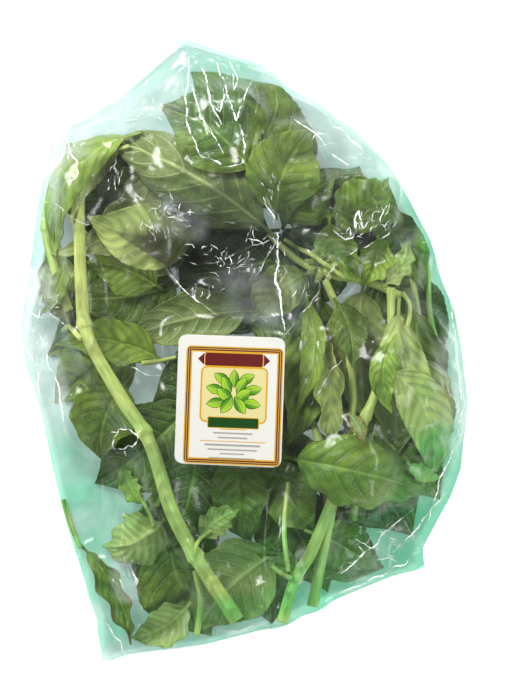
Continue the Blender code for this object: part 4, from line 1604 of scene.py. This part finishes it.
class Creases:
    """Narrow ridges that run along folds, painted white as highlights, gathered into one mesh."""

    STEP = 0.9
    HALF = 0.34

    def __init__(self) -> None:
        """Starts with none."""
        self.rows: list[Array] = []
        # how strong each ridge's painted highlight is, point by point
        self.painted_highlight: list[Array] = []
        self.draw = random.Random(SEED)

    def along(self, points: Sequence[Point], height_at: Any, half: float, painted_highlight: float = 1.0) -> None:
        """Adds a ridge along a line: jagged, wandering, broken in places, resting on the film, with its
        painted highlight.

        Args:
            points: the line.
            height_at: the film's height at places.
            half: half the ridge's width.
            painted_highlight: how white its painted highlight is and how whole it is.
        """
        chain = np.array(points, float)
        lengths = np.hypot(*np.diff(chain, axis=0).T)
        places = np.concatenate([[0], np.cumsum(lengths)])
        count = max(4, round(places[-1] / self.STEP))
        at = np.linspace(0, places[-1], count)
        x, y = np.interp(at, places, chain[:, 0]), np.interp(at, places, chain[:, 1])
        wander = np.clip(places[-1] / 20, 0, 1) * np.sin(math.pi * np.linspace(0, 1, count))
        seed = self.draw.randrange(9999)
        x, y = (
            x + wander * 1.5 * waves(x, y, 11.0, seed) + self.jag(count),
            y + wander * 1.5 * waves(x, y, 11.0, seed + 1) + self.jag(count),
        )
        whole = np.clip(0.35 + 0.6 * painted_highlight + 1.2 * waves(x, y, 8.0, seed + 2), 0.12, 1)
        heading = np.column_stack([np.gradient(x), np.gradient(y)])
        heading /= np.maximum(np.linalg.norm(heading, axis=1, keepdims=True), 1e-6)
        taper = np.sin(math.pi * np.linspace(0.06, 0.94, count)) ** 0.6
        reach = half * taper * whole * np.array([self.draw.uniform(0.55, 1.25) for _ in at])
        row = np.zeros((count + 1, 3, 3))
        for j, side in enumerate((-1, 0, 1)):
            row[:-1, j, 0] = x - heading[:, 1] * reach * side
            row[:-1, j, 1] = y + heading[:, 0] * reach * side
            row[:-1, j, 2] = height_at(row[:-1, j, 0], row[:-1, j, 1]) + (0.45 if side == 0 else 0.12)
        self.rows.append(row)
        self.painted_highlight.append(np.append(whole * painted_highlight * self.draw.uniform(0.65, 1.0), 0.0))

    def jag(self, count: int) -> Array:
        """Small random sideways steps."""
        return np.array([self.draw.uniform(-1, 1) for _ in range(count)]) * 0.22

    def cluster(self, spot: Cluster, height_at: Any) -> None:
        """Adds the small folds of a crumpled spot.

        Args:
            spot: the crumpled spot.
            height_at: the film's height at places.
        """
        for _ in range(spot.count):
            x = spot.middle[0] + self.draw.gauss(0, 0.55) * spot.reach[0]
            y = spot.middle[1] + self.draw.gauss(0, 0.55) * spot.reach[1]
            turn = math.radians(spot.turn + self.draw.uniform(-spot.vary, spot.vary))
            points = [(x, y)]
            for _ in range(self.draw.randint(1, 3)):
                step = self.draw.uniform(*spot.length) * 0.6
                x, y = x + math.cos(turn) * step, y + math.sin(turn) * step
                points.append((x, y))
                turn += math.radians(self.draw.uniform(-55, 55))
            self.along(points, height_at, self.HALF * self.draw.uniform(0.35, 0.75))

    def build(self, finish: Material) -> Piece:
        """Makes the piece.

        Args:
            finish: the folds' material.

        Returns:
            The finished piece.
        """
        points = np.concatenate(self.rows)
        # painted highlight of each point of the ridges
        painted_highlight = np.concatenate(self.painted_highlight)[:, None] * np.ones((1, 3))
        gone = np.zeros(points.shape[:2], bool)
        gone[np.cumsum([len(row) for row in self.rows]) - 1] = True
        piece = Workshop.grid("bag_creases", points, None, gone, {"painted_highlight": painted_highlight})
        piece.data.materials.append(finish)
        return Workshop.done(piece, "film")


@dataclass(frozen=True)
class Bag:
    """The film bag: its floor, its front, the mouth folded over the front and a fold at the top."""

    left: Route = (
        (-70, -154), (-74, -130), (-80, -110), (-88, -86), (-95, -57), (-101, -28), (-109, -4),
        (-111, 13), (-107, 35), (-101, 73), (-98, 96), (-92, 112), (-77, 120), (-61, 131),
        (-45, 145), (-33, 155),
    )
    right: Route = (
        (-66, -154), (-54, -149), (-21, -146), (3, -140), (34, -128), (58, -118), (76, -111),
        (90, -108), (89, -98), (98, -81), (103, -72), (108, -58), (111, -24), (108, 2),
        (104, 21), (98, 35), (91, 58), (83, 74), (70, 95), (57, 108), (36, 124), (22, 130),
        (11, 142), (-29, 155),
    )
    mouth_left: Route = (
        (15, 8), (-12, 19), (-28, 28), (-38, 42), (-60, 56), (-77, 70), (-99, 84),
    )
    mouth_right: Route = (
        (22, 8), (30, 24), (38, 32), (50, 46), (60, 52), (77, 66), (79, 82),
    )
    top_left: Route = ((-21, 94), (-27, 112), (-30, 135), (-33, 154))
    top_right: Route = (
        (-19, 94), (-8, 90.5), (0, 92), (2, 104), (2, 120), (10, 141), (-26, 154),
    )
    low_y: float = -154.0
    high_y: float = 155.0
    mouth_y: float = 84.0
    front_end: float = 86.0
    mouth_end: float = 8.0
    step: float = 1.25
    rim: float = 5.0
    tear: Point = (-58.0, -43.0)
    tear_reach: float = 5.0
    flat: Point = (0.47, 0.33)  # in metres: twice the lay-flat width, and the length
    gap: float = 0.5  # from the heap to the front wall
    label_gap: float = 0.45  # from the card's middle down to the front wall
    lift: float = 0.25  # the floor above what the bag lies on
    seam_reach: float = 3.0  # the walls come together over this width
    label_reach: float = 6.0  # the film is smooth under the label and this far round it
    # Where the film gets painted shade, where it is greener, and where it is milky, partly as painted
    # reflection: how much, and half the width of the patch.
    painted_shade: tuple[Line, ...] = (
        Line(((-66, 90), (-48, 78), (-30, 68), (-6, 58)), 0.5, 4.0),
        Line(((-24, 56), (-12, 54), (6, 52)), 0.6, 5.0),
        Line(((-54, 50), (-34, 46), (-4, 44)), 0.85, 7.0),
        Line(((-28, 34), (-8, 30), (8, 30)), 0.55, 7.0),
        Line(((26, 50), (42, 54), (62, 62)), 0.35, 6.0),
    )
    pools: tuple[Line, ...] = (
        Line(((100, -52), (84, -84), (58, -104), (30, -118)), 0.8, 10.0),
        Line(((24, -122), (-20, -138)), 0.4, 8.0),
        Line(((-92, -58), (-84, -92), (-76, -124)), 0.22, 11.0),
        Line(((8, -96), (44, -88)), 0.25, 12.0),
        Line(((-50, -60), (-20, -82)), 0.2, 10.0),
        Line(((84, 76), (96, 44), (104, 8)), 0.5, 6.0),
        Line(((-99, 70), (-102, 40)), 0.3, 5.0),
    )
    haze_and_reflection: tuple[Line, ...] = (
        Line(((-104, 30), (-106, 8), (-98, -26)), 0.3, 8.0),
        Line(((-99, -20), (-94, -52)), 0.16, 6.0),
        Line(((-96, 100), (-80, 114)), 0.2, 8.0),
        Line(((-66, 116), (-50, 122), (-38, 128)), 0.2, 7.0),
        Line(((-60, -108), (-58, -118)), 0.16, 4.0),
        Line(((104, 0), (106, -40)), 0.16, 7.0),
        Line(((34, 112), (52, 100)), 0.12, 6.0),
        Line(((-36, 66), (-26, 62)), 0.12, 6.0),
        Line(((0, 30), (18, 22)), 0.07, 9.0),
        Line(((78, -96), (60, -112)), 0.12, 7.0),
    )

    @staticmethod
    def edge(chain: Sequence[Point], y: Array) -> Array:
        """Where an edge lies at each y."""
        points = sorted(chain, key=lambda point: point[1])
        return np.interp(y, [p[1] for p in points], [p[0] for p in points])

    def rows(self, low: float, high: float, step: float, sides: tuple, count: int) -> Array:
        """A level grid between two edges, rows by columns by 3.

        Args:
            low: where the first row lies.
            high: where the last row lies.
            step: about how far apart rows are.
            sides: the left and the right edge.
            count: how many columns.

        Returns:
            The grid.
        """
        y = np.linspace(low, high, max(2, round((high - low) / step) + 1))
        share = np.linspace(0, 1, count)
        grid = np.zeros((len(y), count, 3))
        start, end = self.edge(sides[0], y)[:, None], self.edge(sides[1], y)[:, None]
        grid[..., 0] = start + (end - start) * share
        grid[..., 1] = y[:, None]
        return grid

    @staticmethod
    def crumple(x: Array, y: Array, seed: int) -> Array:
        """Crossing folds of handled film, in millimetres.

        Args:
            x, y: places across and along.
            seed: what the draws start from.

        Returns:
            The folds' height at each place.
        """
        draw = random.Random(seed)
        total = np.zeros_like(x)
        for _ in range(9):
            turn = draw.uniform(0, math.pi)
            pitch = draw.uniform(9.0, 30.0)
            warp = 3.5 * waves(x, y, 26.0, draw.randrange(9999), 3)
            phase = (x * math.cos(turn) + y * math.sin(turn) + warp) / pitch + draw.uniform(0, 1)
            ridge = 1 - np.abs(2 * (phase % 1) - 1)
            patch = np.clip(waves(x, y, 40.0, draw.randrange(9999), 3) * 1.6 + 0.25, 0, 1)
            total += ridge**5 * patch * pitch * 0.03
        return total

    def label_free(self, x: Array, y: Array, label: "Label") -> Array:
        """0 under the label, 1 a little away from it.

        Args:
            x, y: places across and along.
            label: the label.

        Returns:
            The share at each place.
        """
        u, v = label.local(x, y)
        beyond_u = np.maximum(np.abs(u) - label.size[0] / 2, 0)
        beyond_v = np.maximum(np.abs(v) - label.size[1] / 2, 0)
        return np.clip(np.hypot(beyond_u, beyond_v) / self.label_reach, 0, 1)

    def inward(self, x: Array, y: Array) -> Array:
        """How far places are inside the nearer of the bag's two sides."""
        return np.minimum(x - self.edge(self.left, y), self.edge(self.right, y) - x)

    def seam(self, x: Array, y: Array) -> Array:
        """0 at the bag's outline, 1 a little way in."""
        return np.clip(self.inward(x, y) / self.seam_reach, 0, 1)

    @staticmethod
    def ridges(folds: Sequence[Line], x: Array, y: Array) -> Array:
        """All the folds' heights together."""
        return sum((line.ridge(x, y) for line in folds), np.zeros_like(x))

    def numbers(self, x: Array, y: Array, painted_shade_on: bool) -> dict[str, Array]:
        """How much painted shade, milkiness (partly painted reflection) and green the film has at places.

        Args:
            x, y: places across and along.
            painted_shade_on: whether this wall gets painted shade, being doubled over the dark hollow.

        Returns:
            The numbers by attribute.
        """
        # painted shade where the mouth lies doubled over the shadowed hollow
        painted_shade = np.maximum.reduce([line.patch(x, y) for line in self.painted_shade])
        painted_shade = np.clip(painted_shade * (1 + 0.35 * waves(x, y, 16.0, 41)), 0, 1) if painted_shade_on else painted_shade * 0.0
        # milky film, in patches painted reflection
        haze_and_reflection = np.maximum.reduce([line.patch(x, y) for line in self.haze_and_reflection])
        haze_and_reflection = np.clip(haze_and_reflection * (1 + 0.5 * waves(x, y, 12.0, 43)) + 0.012, 0, 1)
        mottle = waves(x, y, 30.0, 45)
        streak = waves(x + 0.9 * y, (y - x) * 0.22, 12.0, 48)
        low = np.clip((10 - y) / 90, 0, 1) * (0.3 + 0.4 * mottle)
        right = np.clip((x - 50) / 55, 0, 1) * (0.25 + 0.35 * waves(x, y, 22.0, 46))
        high = np.clip((y - 118) / 25, 0, 1) * (0.1 + 0.3 * mottle)
        pools = np.maximum.reduce([line.patch(x, y) for line in self.pools]) * (0.75 + 0.7 * streak)
        mint = low + right + high + pools
        rim = np.exp(-((self.inward(x, y) / 2.6) ** 2)) * (0.65 + 0.5 * waves(x, y, 18.0, 47))
        mint = np.clip(mint + rim * np.clip(0.7 + x / 200, 0.4, 1), 0, 1)
        return {"painted_shade": painted_shade, "haze_and_reflection": haze_and_reflection, "mint": mint}

    def build(self, heap: Heights, label: "Label", films: dict[str, Material]) -> None:
        """Draws the film over the heap: floor, front and folded mouth.

        Args:
            heap: what lies in the bag.
            label: the label that sticks to it.
            films: the film's finishes by wall.
        """
        heap.add(label.patch())
        inside = (heap.x > self.edge(self.left, heap.y)) & (heap.x < self.edge(self.right, heap.y))
        inside &= (heap.y > self.low_y) & (heap.y < self.high_y)
        heap.map[~inside] = self.rim
        field = heap.covering(24.0, 6)
        over = np.maximum(softened(softened(field, 0, 4), 1, 4), field)

        def front_height(x: Array, y: Array) -> Array:
            """Height of the front wall, which meets the floor at the outline."""
            free = self.label_free(x, y, label) * self.seam(x, y)
            rough = self.crumple(x, y, 11) * 0.7 + self.ridges(FRONT_FOLDS, x, y)
            card = label.height(*label.local(x, y)) - self.label_gap
            under = card + 12.0 * self.label_free(x, y, label)
            return np.minimum(heap.at(field, x, y) + self.gap + free * rough, under)

        def mouth_height(x: Array, y: Array) -> Array:
            """Height of the mouth folded over the front wall."""
            clear = 0.6 + np.clip((self.front_end + 12.0 - y) / 20.0, 0, 1) * 1.6
            rough = self.crumple(x, y, 23) * 0.8 + self.ridges(MOUTH_FOLDS, x, y)
            seam = self.seam(x, y)
            rim = heap.at(field, x, y) + self.gap
            return rim * (1 - seam) + (heap.at(over, x, y) + clear + rough) * seam

        def top_height(x: Array, y: Array) -> Array:
            """Height of the small fold at the top."""
            inner = np.clip((y - 90) / 12, 0, 1) * np.clip((155 - y) / 10, 0, 1)
            return mouth_height(x, y) + 0.5 + inner * 0.8 + self.ridges(TOP_FOLDS, x, y)

        front = self.rows(self.low_y, self.front_end, self.step, (self.left, self.right), 168)
        x, y = front[..., 0], front[..., 1]
        tear = np.hypot(x - self.tear[0], y - self.tear[1])
        ragged = self.ragged(np.arctan2(y - self.tear[1], x - self.tear[0]))
        lip = 1.4 * np.exp(-(((tear - self.tear_reach * 1.15) / 1.4) ** 2))
        front[..., 2] = front_height(x, y) + lip * (0.6 + 0.4 * waves(x, y, 5.0, 3))
        gone = tear < self.tear_reach * ragged
        sheets = [self.sheet("bag_front", front, films["front"], gone, False)]

        edges = (
            self.mouth_left + tuple(p for p in self.left if p[1] > self.mouth_y),
            self.mouth_right + tuple(p for p in self.right if p[1] > self.mouth_y),
        )
        mouth = self.rows(self.mouth_end, self.high_y, self.step, edges, 150)
        mouth[..., 2] = mouth_height(mouth[..., 0], mouth[..., 1])
        sheets.append(self.sheet("bag_mouth", mouth, films["mouth"], None, True))

        top = self.rows(91.5, 154.0, self.step, (self.top_left, self.top_right), 40)
        top[..., 2] = top_height(top[..., 0], top[..., 1])
        sheets.append(self.sheet("bag_top", top, films["top"], None, False))

        floor = self.rows(self.low_y, self.high_y, 3.0, (self.left, self.right), 90)
        x, y = floor[..., 0], floor[..., 1]
        inward = np.minimum(x - x[:, :1], x[:, -1:] - x)
        rise = np.clip(1 - inward / self.rim, 0, 1) ** 2
        floor[..., 2] = self.lift + rise * (heap.at(field, x, y) + self.gap - self.lift)
        sheets.append(self.sheet("bag_floor", floor, films["back"], None, False))
        film = Workshop.done(Workshop.join("bag_film", sheets), "film", "bag")

        creases = Creases()
        for folds, clusters, height_at in (
            (FRONT_FOLDS, FRONT_CLUSTERS, front_height),
            (MOUTH_FOLDS, MOUTH_CLUSTERS, mouth_height),
            (TOP_FOLDS, (), top_height),
        ):
            for line in folds:
                half = Creases.HALF * (0.6 + 0.5 * line.height)
                creases.along(line.points, height_at, half, line.height)
            for spot in clusters:
                creases.cluster(spot, height_at)
        self.tear_rim(creases, front_height)
        ridge = creases.build(films["fold"])

    @staticmethod
    def ragged(turn: Array) -> Array:
        """How far the tear reaches in each direction, as a share of its usual reach."""
        return 1 + 0.2 * np.sin(2 * turn + 0.7) + 0.13 * np.sin(3 * turn + 2.0) + 0.1 * np.sin(7 * turn)

    def tear_rim(self, creases: Creases, height_at: Any) -> None:
        """Ragged edge round the tear, its ridges painted white as highlights.

        Args:
            creases: where the edge's ridges are gathered.
            height_at: the film's height at places.
        """
        turns = [2 * math.pi * k / 18 for k in range(19)]
        reaches = [self.tear_reach * (0.1 + float(self.ragged(np.array(turn)))) for turn in turns]
        ring = [
            (self.tear[0] + reach * math.cos(turn), self.tear[1] + reach * math.sin(turn))
            for turn, reach in zip(turns, reaches)
        ]
        for start in range(0, 18, 3):
            creases.along(ring[start : start + 4], lambda x, y: height_at(x, y) + 1.2, 0.42)
        for turn, reach in list(zip(turns, reaches))[1::3]:
            start = (self.tear[0] + reach * math.cos(turn), self.tear[1] + reach * math.sin(turn))
            end = (start[0] + 3.5 * math.cos(turn + 0.6), start[1] + 3.5 * math.sin(turn + 0.6))
            creases.along([start, end], lambda x, y: height_at(x, y) + 0.6, 0.25)

    def sheet(
        self, name: str, grid: Array, film: Material, gone: Array | None, painted_shade_on: bool
    ) -> Piece:
        """One wall of the bag.

        Args:
            name: the wall's name.
            grid: its points by row and column.
            film: its finish.
            gone: where it has a hole, or None.
            painted_shade_on: whether it gets painted shade, being doubled over the dark hollow.

        Returns:
            The wall, to be joined to the others.
        """
        piece = Workshop.grid(name, grid, None, gone, self.numbers(grid[..., 0], grid[..., 1], painted_shade_on))
        piece.data.materials.append(film)
        return piece


@dataclass(frozen=True)
class Label:
    """The paper label, which follows the film but stays nearly flat."""

    centre: Point = (-6.5, -24.0)
    size: Point = (52.0, 63.0)
    corner: float = 4.0
    turn: float = -2.0
    thickness: float = 0.3

    def local(self, x: Array, y: Array) -> tuple[Array, Array]:
        """Places in the label's own directions, from its middle.

        Args:
            x, y: places across and along.

        Returns:
            Places across and up the label.
        """
        c, s = math.cos(math.radians(self.turn)), math.sin(math.radians(self.turn))
        dx, dy = x - self.centre[0], y - self.centre[1]
        return dx * c + dy * s, -dx * s + dy * c

    def world(self, u: Array, v: Array) -> tuple[Array, Array]:
        """Layout places of points given in the label's own directions.

        Args:
            u, v: places across and up the label.

        Returns:
            Places across and along the layout.
        """
        c, s = math.cos(math.radians(self.turn)), math.sin(math.radians(self.turn))
        return self.centre[0] + u * c - v * s, self.centre[1] + u * s + v * c

    def bend(self) -> Array:
        """Gently curved surface through the CAD label's points, as shares of 1, u, v, uu, uv, vv.

        Returns:
            The six shares.
        """
        points = cad_points("label")
        u, v = self.local(points[:, 0], points[:, 1])
        terms = self.terms(u, v)
        return np.linalg.lstsq(terms, points[:, 2], rcond=None)[0]

    @staticmethod
    def terms(u: Array, v: Array) -> Array:
        """The terms of the curved surface."""
        return np.stack([np.ones_like(u), u, v, u * u, u * v, v * v], axis=-1)

    def height(self, u: Array, v: Array) -> Array:
        """Height of the card's middle, level beyond its edges.

        Args:
            u, v: places across and up the label.

        Returns:
            The height at each place.
        """
        u = np.clip(u, -self.size[0] / 2, self.size[0] / 2)
        v = np.clip(v, -self.size[1] / 2, self.size[1] / 2)
        return self.terms(u, v) @ self.bend()

    def patch(self) -> Array:
        """Points of the card's underside, for the film to lie under.

        Returns:
            The points, one a row.
        """
        u, v = np.meshgrid(
            np.linspace(-self.size[0] / 2, self.size[0] / 2, 60),
            np.linspace(-self.size[1] / 2, self.size[1] / 2, 60),
        )
        x, y = self.world(u, v)
        return np.stack([x, y, self.height(u, v) - 1.2], axis=-1).reshape(-1, 3)

    def build(self, finish: Material) -> Piece:
        """Makes the card with rounded corners.

        Args:
            finish: its print.

        Returns:
            The finished piece.
        """
        rows, columns = 91, 77
        v = np.linspace(-1, 1, rows)[:, None] * self.size[1] / 2
        u = np.linspace(-1, 1, columns)[None, :] * np.ones((rows, 1))
        inset = np.maximum(np.abs(v) - (self.size[1] / 2 - self.corner), 0)
        half = self.size[0] / 2 - (self.corner - np.sqrt(np.maximum(self.corner**2 - inset**2, 0)))
        u = u * half
        v = v + 0 * u
        x, y = self.world(u, v)
        grid = np.stack([x, y, self.height(u, v)], axis=-1)
        uv = np.stack([u / 100 + 0.5, v / 100 + 0.5], axis=-1)
        piece = Workshop.grid("label_card", grid, uv)
        piece.data.materials.append(finish)
        Workshop.thicken(piece, self.thickness)
        return Workshop.done(piece, "label_card", "label")


# ---- studio


@dataclass(frozen=True)
class Studio:
    """Pale floor, soft light and the camera straight above."""

    centre: Point = (5.35, 5.0)
    distance: float = 1.32
    lens: float = 140.0
    floor_half: float = 3.0
    horizon: float = 1.0
    zenith: float = 0.3
    floor_glow: float = 0.3

    def build(self) -> None:
        """Makes the floor, the sky, the lamps and the camera."""
        self.floor()
        self.sky()
        self.lamp("key", (-0.5, 0.65, 0.8), 0.4, 17.5)
        self.lamp("fill", (0.8, -0.2, 0.8), 0.5, 7.0)
        self.lamp("glint_back", (0.1, 0.8, 0.35), 0.18, 1.3)
        self.lamp("glint_left", (-0.8, -0.1, 0.5), 0.18, 1.1)
        self.lamp("glint_near", (0.25, -0.7, 0.55), 0.18, 0.9)
        self.camera()

    def floor(self) -> None:
        """Makes the pale floor, which glows a little."""
        Workshop.clear_selection()
        bpy.ops.mesh.primitive_plane_add(size=2 * self.floor_half, location=(0, 0, -0.0005))
        floor = bpy.context.object
        floor.name = "studio_floor"
        tree = Tree("studio_floor")
        tint = tree.mix(tree.noise(tree.place(), 3.0, 2.0), (0.88, 0.88, 0.88), (0.92, 0.92, 0.92))
        shader = tree.principled(
            Base_Color=tint,
            Roughness=0.9,
            Specular_IOR_Level=0.1,
            Emission_Color=WHITE,
            Emission_Strength=self.floor_glow,
        )
        floor.data.materials.append(tree.finish(shader))

    def sky(self) -> None:
        """Makes the soft light all round, brightest at the horizon."""
        world = bpy.data.worlds.new("studio")
        bpy.context.scene.world = world
        world.use_nodes = True
        tree = Tree("studio_sky", world.node_tree)
        direction = tree.node("ShaderNodeTexCoord", {}, {}, "Generated")
        upward = tree.node("ShaderNodeSeparateXYZ", {}, {0: direction}, "Z")
        glow = (1.0 - upward.most(0.0)) ** 1.5 * (self.horizon - self.zenith) + self.zenith
        tree.finish(tree.node("ShaderNodeBackground", {}, {"Color": WHITE, "Strength": glow}))

    def camera(self) -> None:
        """Makes the camera, straight above the bunch."""
        bpy.context.scene.view_settings.view_transform = "Standard"
        camera = bpy.data.cameras.new("camera")
        camera.lens = self.lens
        camera.clip_end = 20.0
        holder = bpy.data.objects.new("camera", camera)
        holder.location = (self.centre[0] * MM, self.centre[1] * MM, self.distance)
        bpy.context.scene.collection.objects.link(holder)
        bpy.context.scene.camera = holder

    @staticmethod
    def lamp(name: str, place: tuple[float, float, float], size: float, watts: float) -> None:
        """Adds a square lamp that looks at the bunch.

        Args:
            name: the lamp's name.
            place: where it hangs, in metres.
            size: its side in metres.
            watts: its power.
        """
        light = bpy.data.lights.new(name, "AREA")
        light.size = size
        light.energy = watts
        holder = bpy.data.objects.new(name, light)
        holder.location = place
        holder.rotation_euler = Vector(place).to_track_quat("Z", "Y").to_euler()
        bpy.context.scene.collection.objects.link(holder)


def main() -> None:
    """Builds the bunch in order: leaves, stems, fillers, film, label, studio."""
    logging.basicConfig(level=logging.INFO, format="%(name)s %(message)s")
    blades = {
        Side.UPPER: LeafFinish(
            "leaf_upper", (0.034, 0.068, 0.006), (0.26, 0.36, 0.035), (0.4, 0.5, 0.13), 0.55, 0.42, 0.35
        ).make(),
        Side.LOWER: LeafFinish(
            "leaf_lower", (0.12, 0.16, 0.04), (0.45, 0.49, 0.15), (0.56, 0.6, 0.25), 0.6, 0.6, 0.5
        ).make(),
    }
    skin = StemFinish().make()
    low, lid, heap = Heights(0.3), Heights(-99.0), Heights(0.3)
    leaves = {leaf.node: points_of(leaf.build(blades)) for leaf in LEAVES}
    stems = {stem.node: points_of(stem.build(skin)) for stem in STEMS}
    for node, points in (leaves | stems).items():
        heap.add(points)
        if node.startswith(BACK_NAMES) or node in LOW_STEMS:
            low.add(points)
        else:
            lid.add(points * (1, 1, -1))
    for facts in LOW_FILLERS:
        points = points_of(Filler(heap=low, lid=lid, **facts).build(blades))
        low.add(points)
        heap.add(points)
    for facts in TOP_FILLERS + buds():
        heap.add(points_of(Filler(heap=heap, **facts).build(blades)))
    for node, route, radii in TWIGS:
        heap.add(points_of(Twig(node, route, radii, heap=heap).build(skin)))
    films = {
        "front": FilmFinish(
            "film_front", (0.94, 0.97, 0.955), (0.56, 0.76, 0.7), 1.0, (0.48, 0.84, 0.7), 0.22
        ).make(),
        "mouth": FilmFinish(
            "film_mouth", (0.94, 0.97, 0.957), (0.56, 0.76, 0.69), 1.15, (0.76, 0.93, 0.86), 0.26
        ).make(),
        "back": FilmFinish(
            "film_back", (0.62, 0.72, 0.705), (0.42, 0.66, 0.58), 0.5, (0.46, 0.71, 0.59), 0.2
        ).make(),
        "top": FilmFinish(
            "film_top", (0.86, 0.95, 0.92), (0.5, 0.78, 0.67), 1.15, (0.8, 0.95, 0.89), 0.35
        ).make(),
        # white painted highlights on the crease ridges
        "fold": FoldHighlightFinish().make(),
    }
    label = Label()
    Bag().build(heap, label, films)
    label.build(LabelFinish().make())
    Studio().build()


if __name__ == "__main__":
    main()
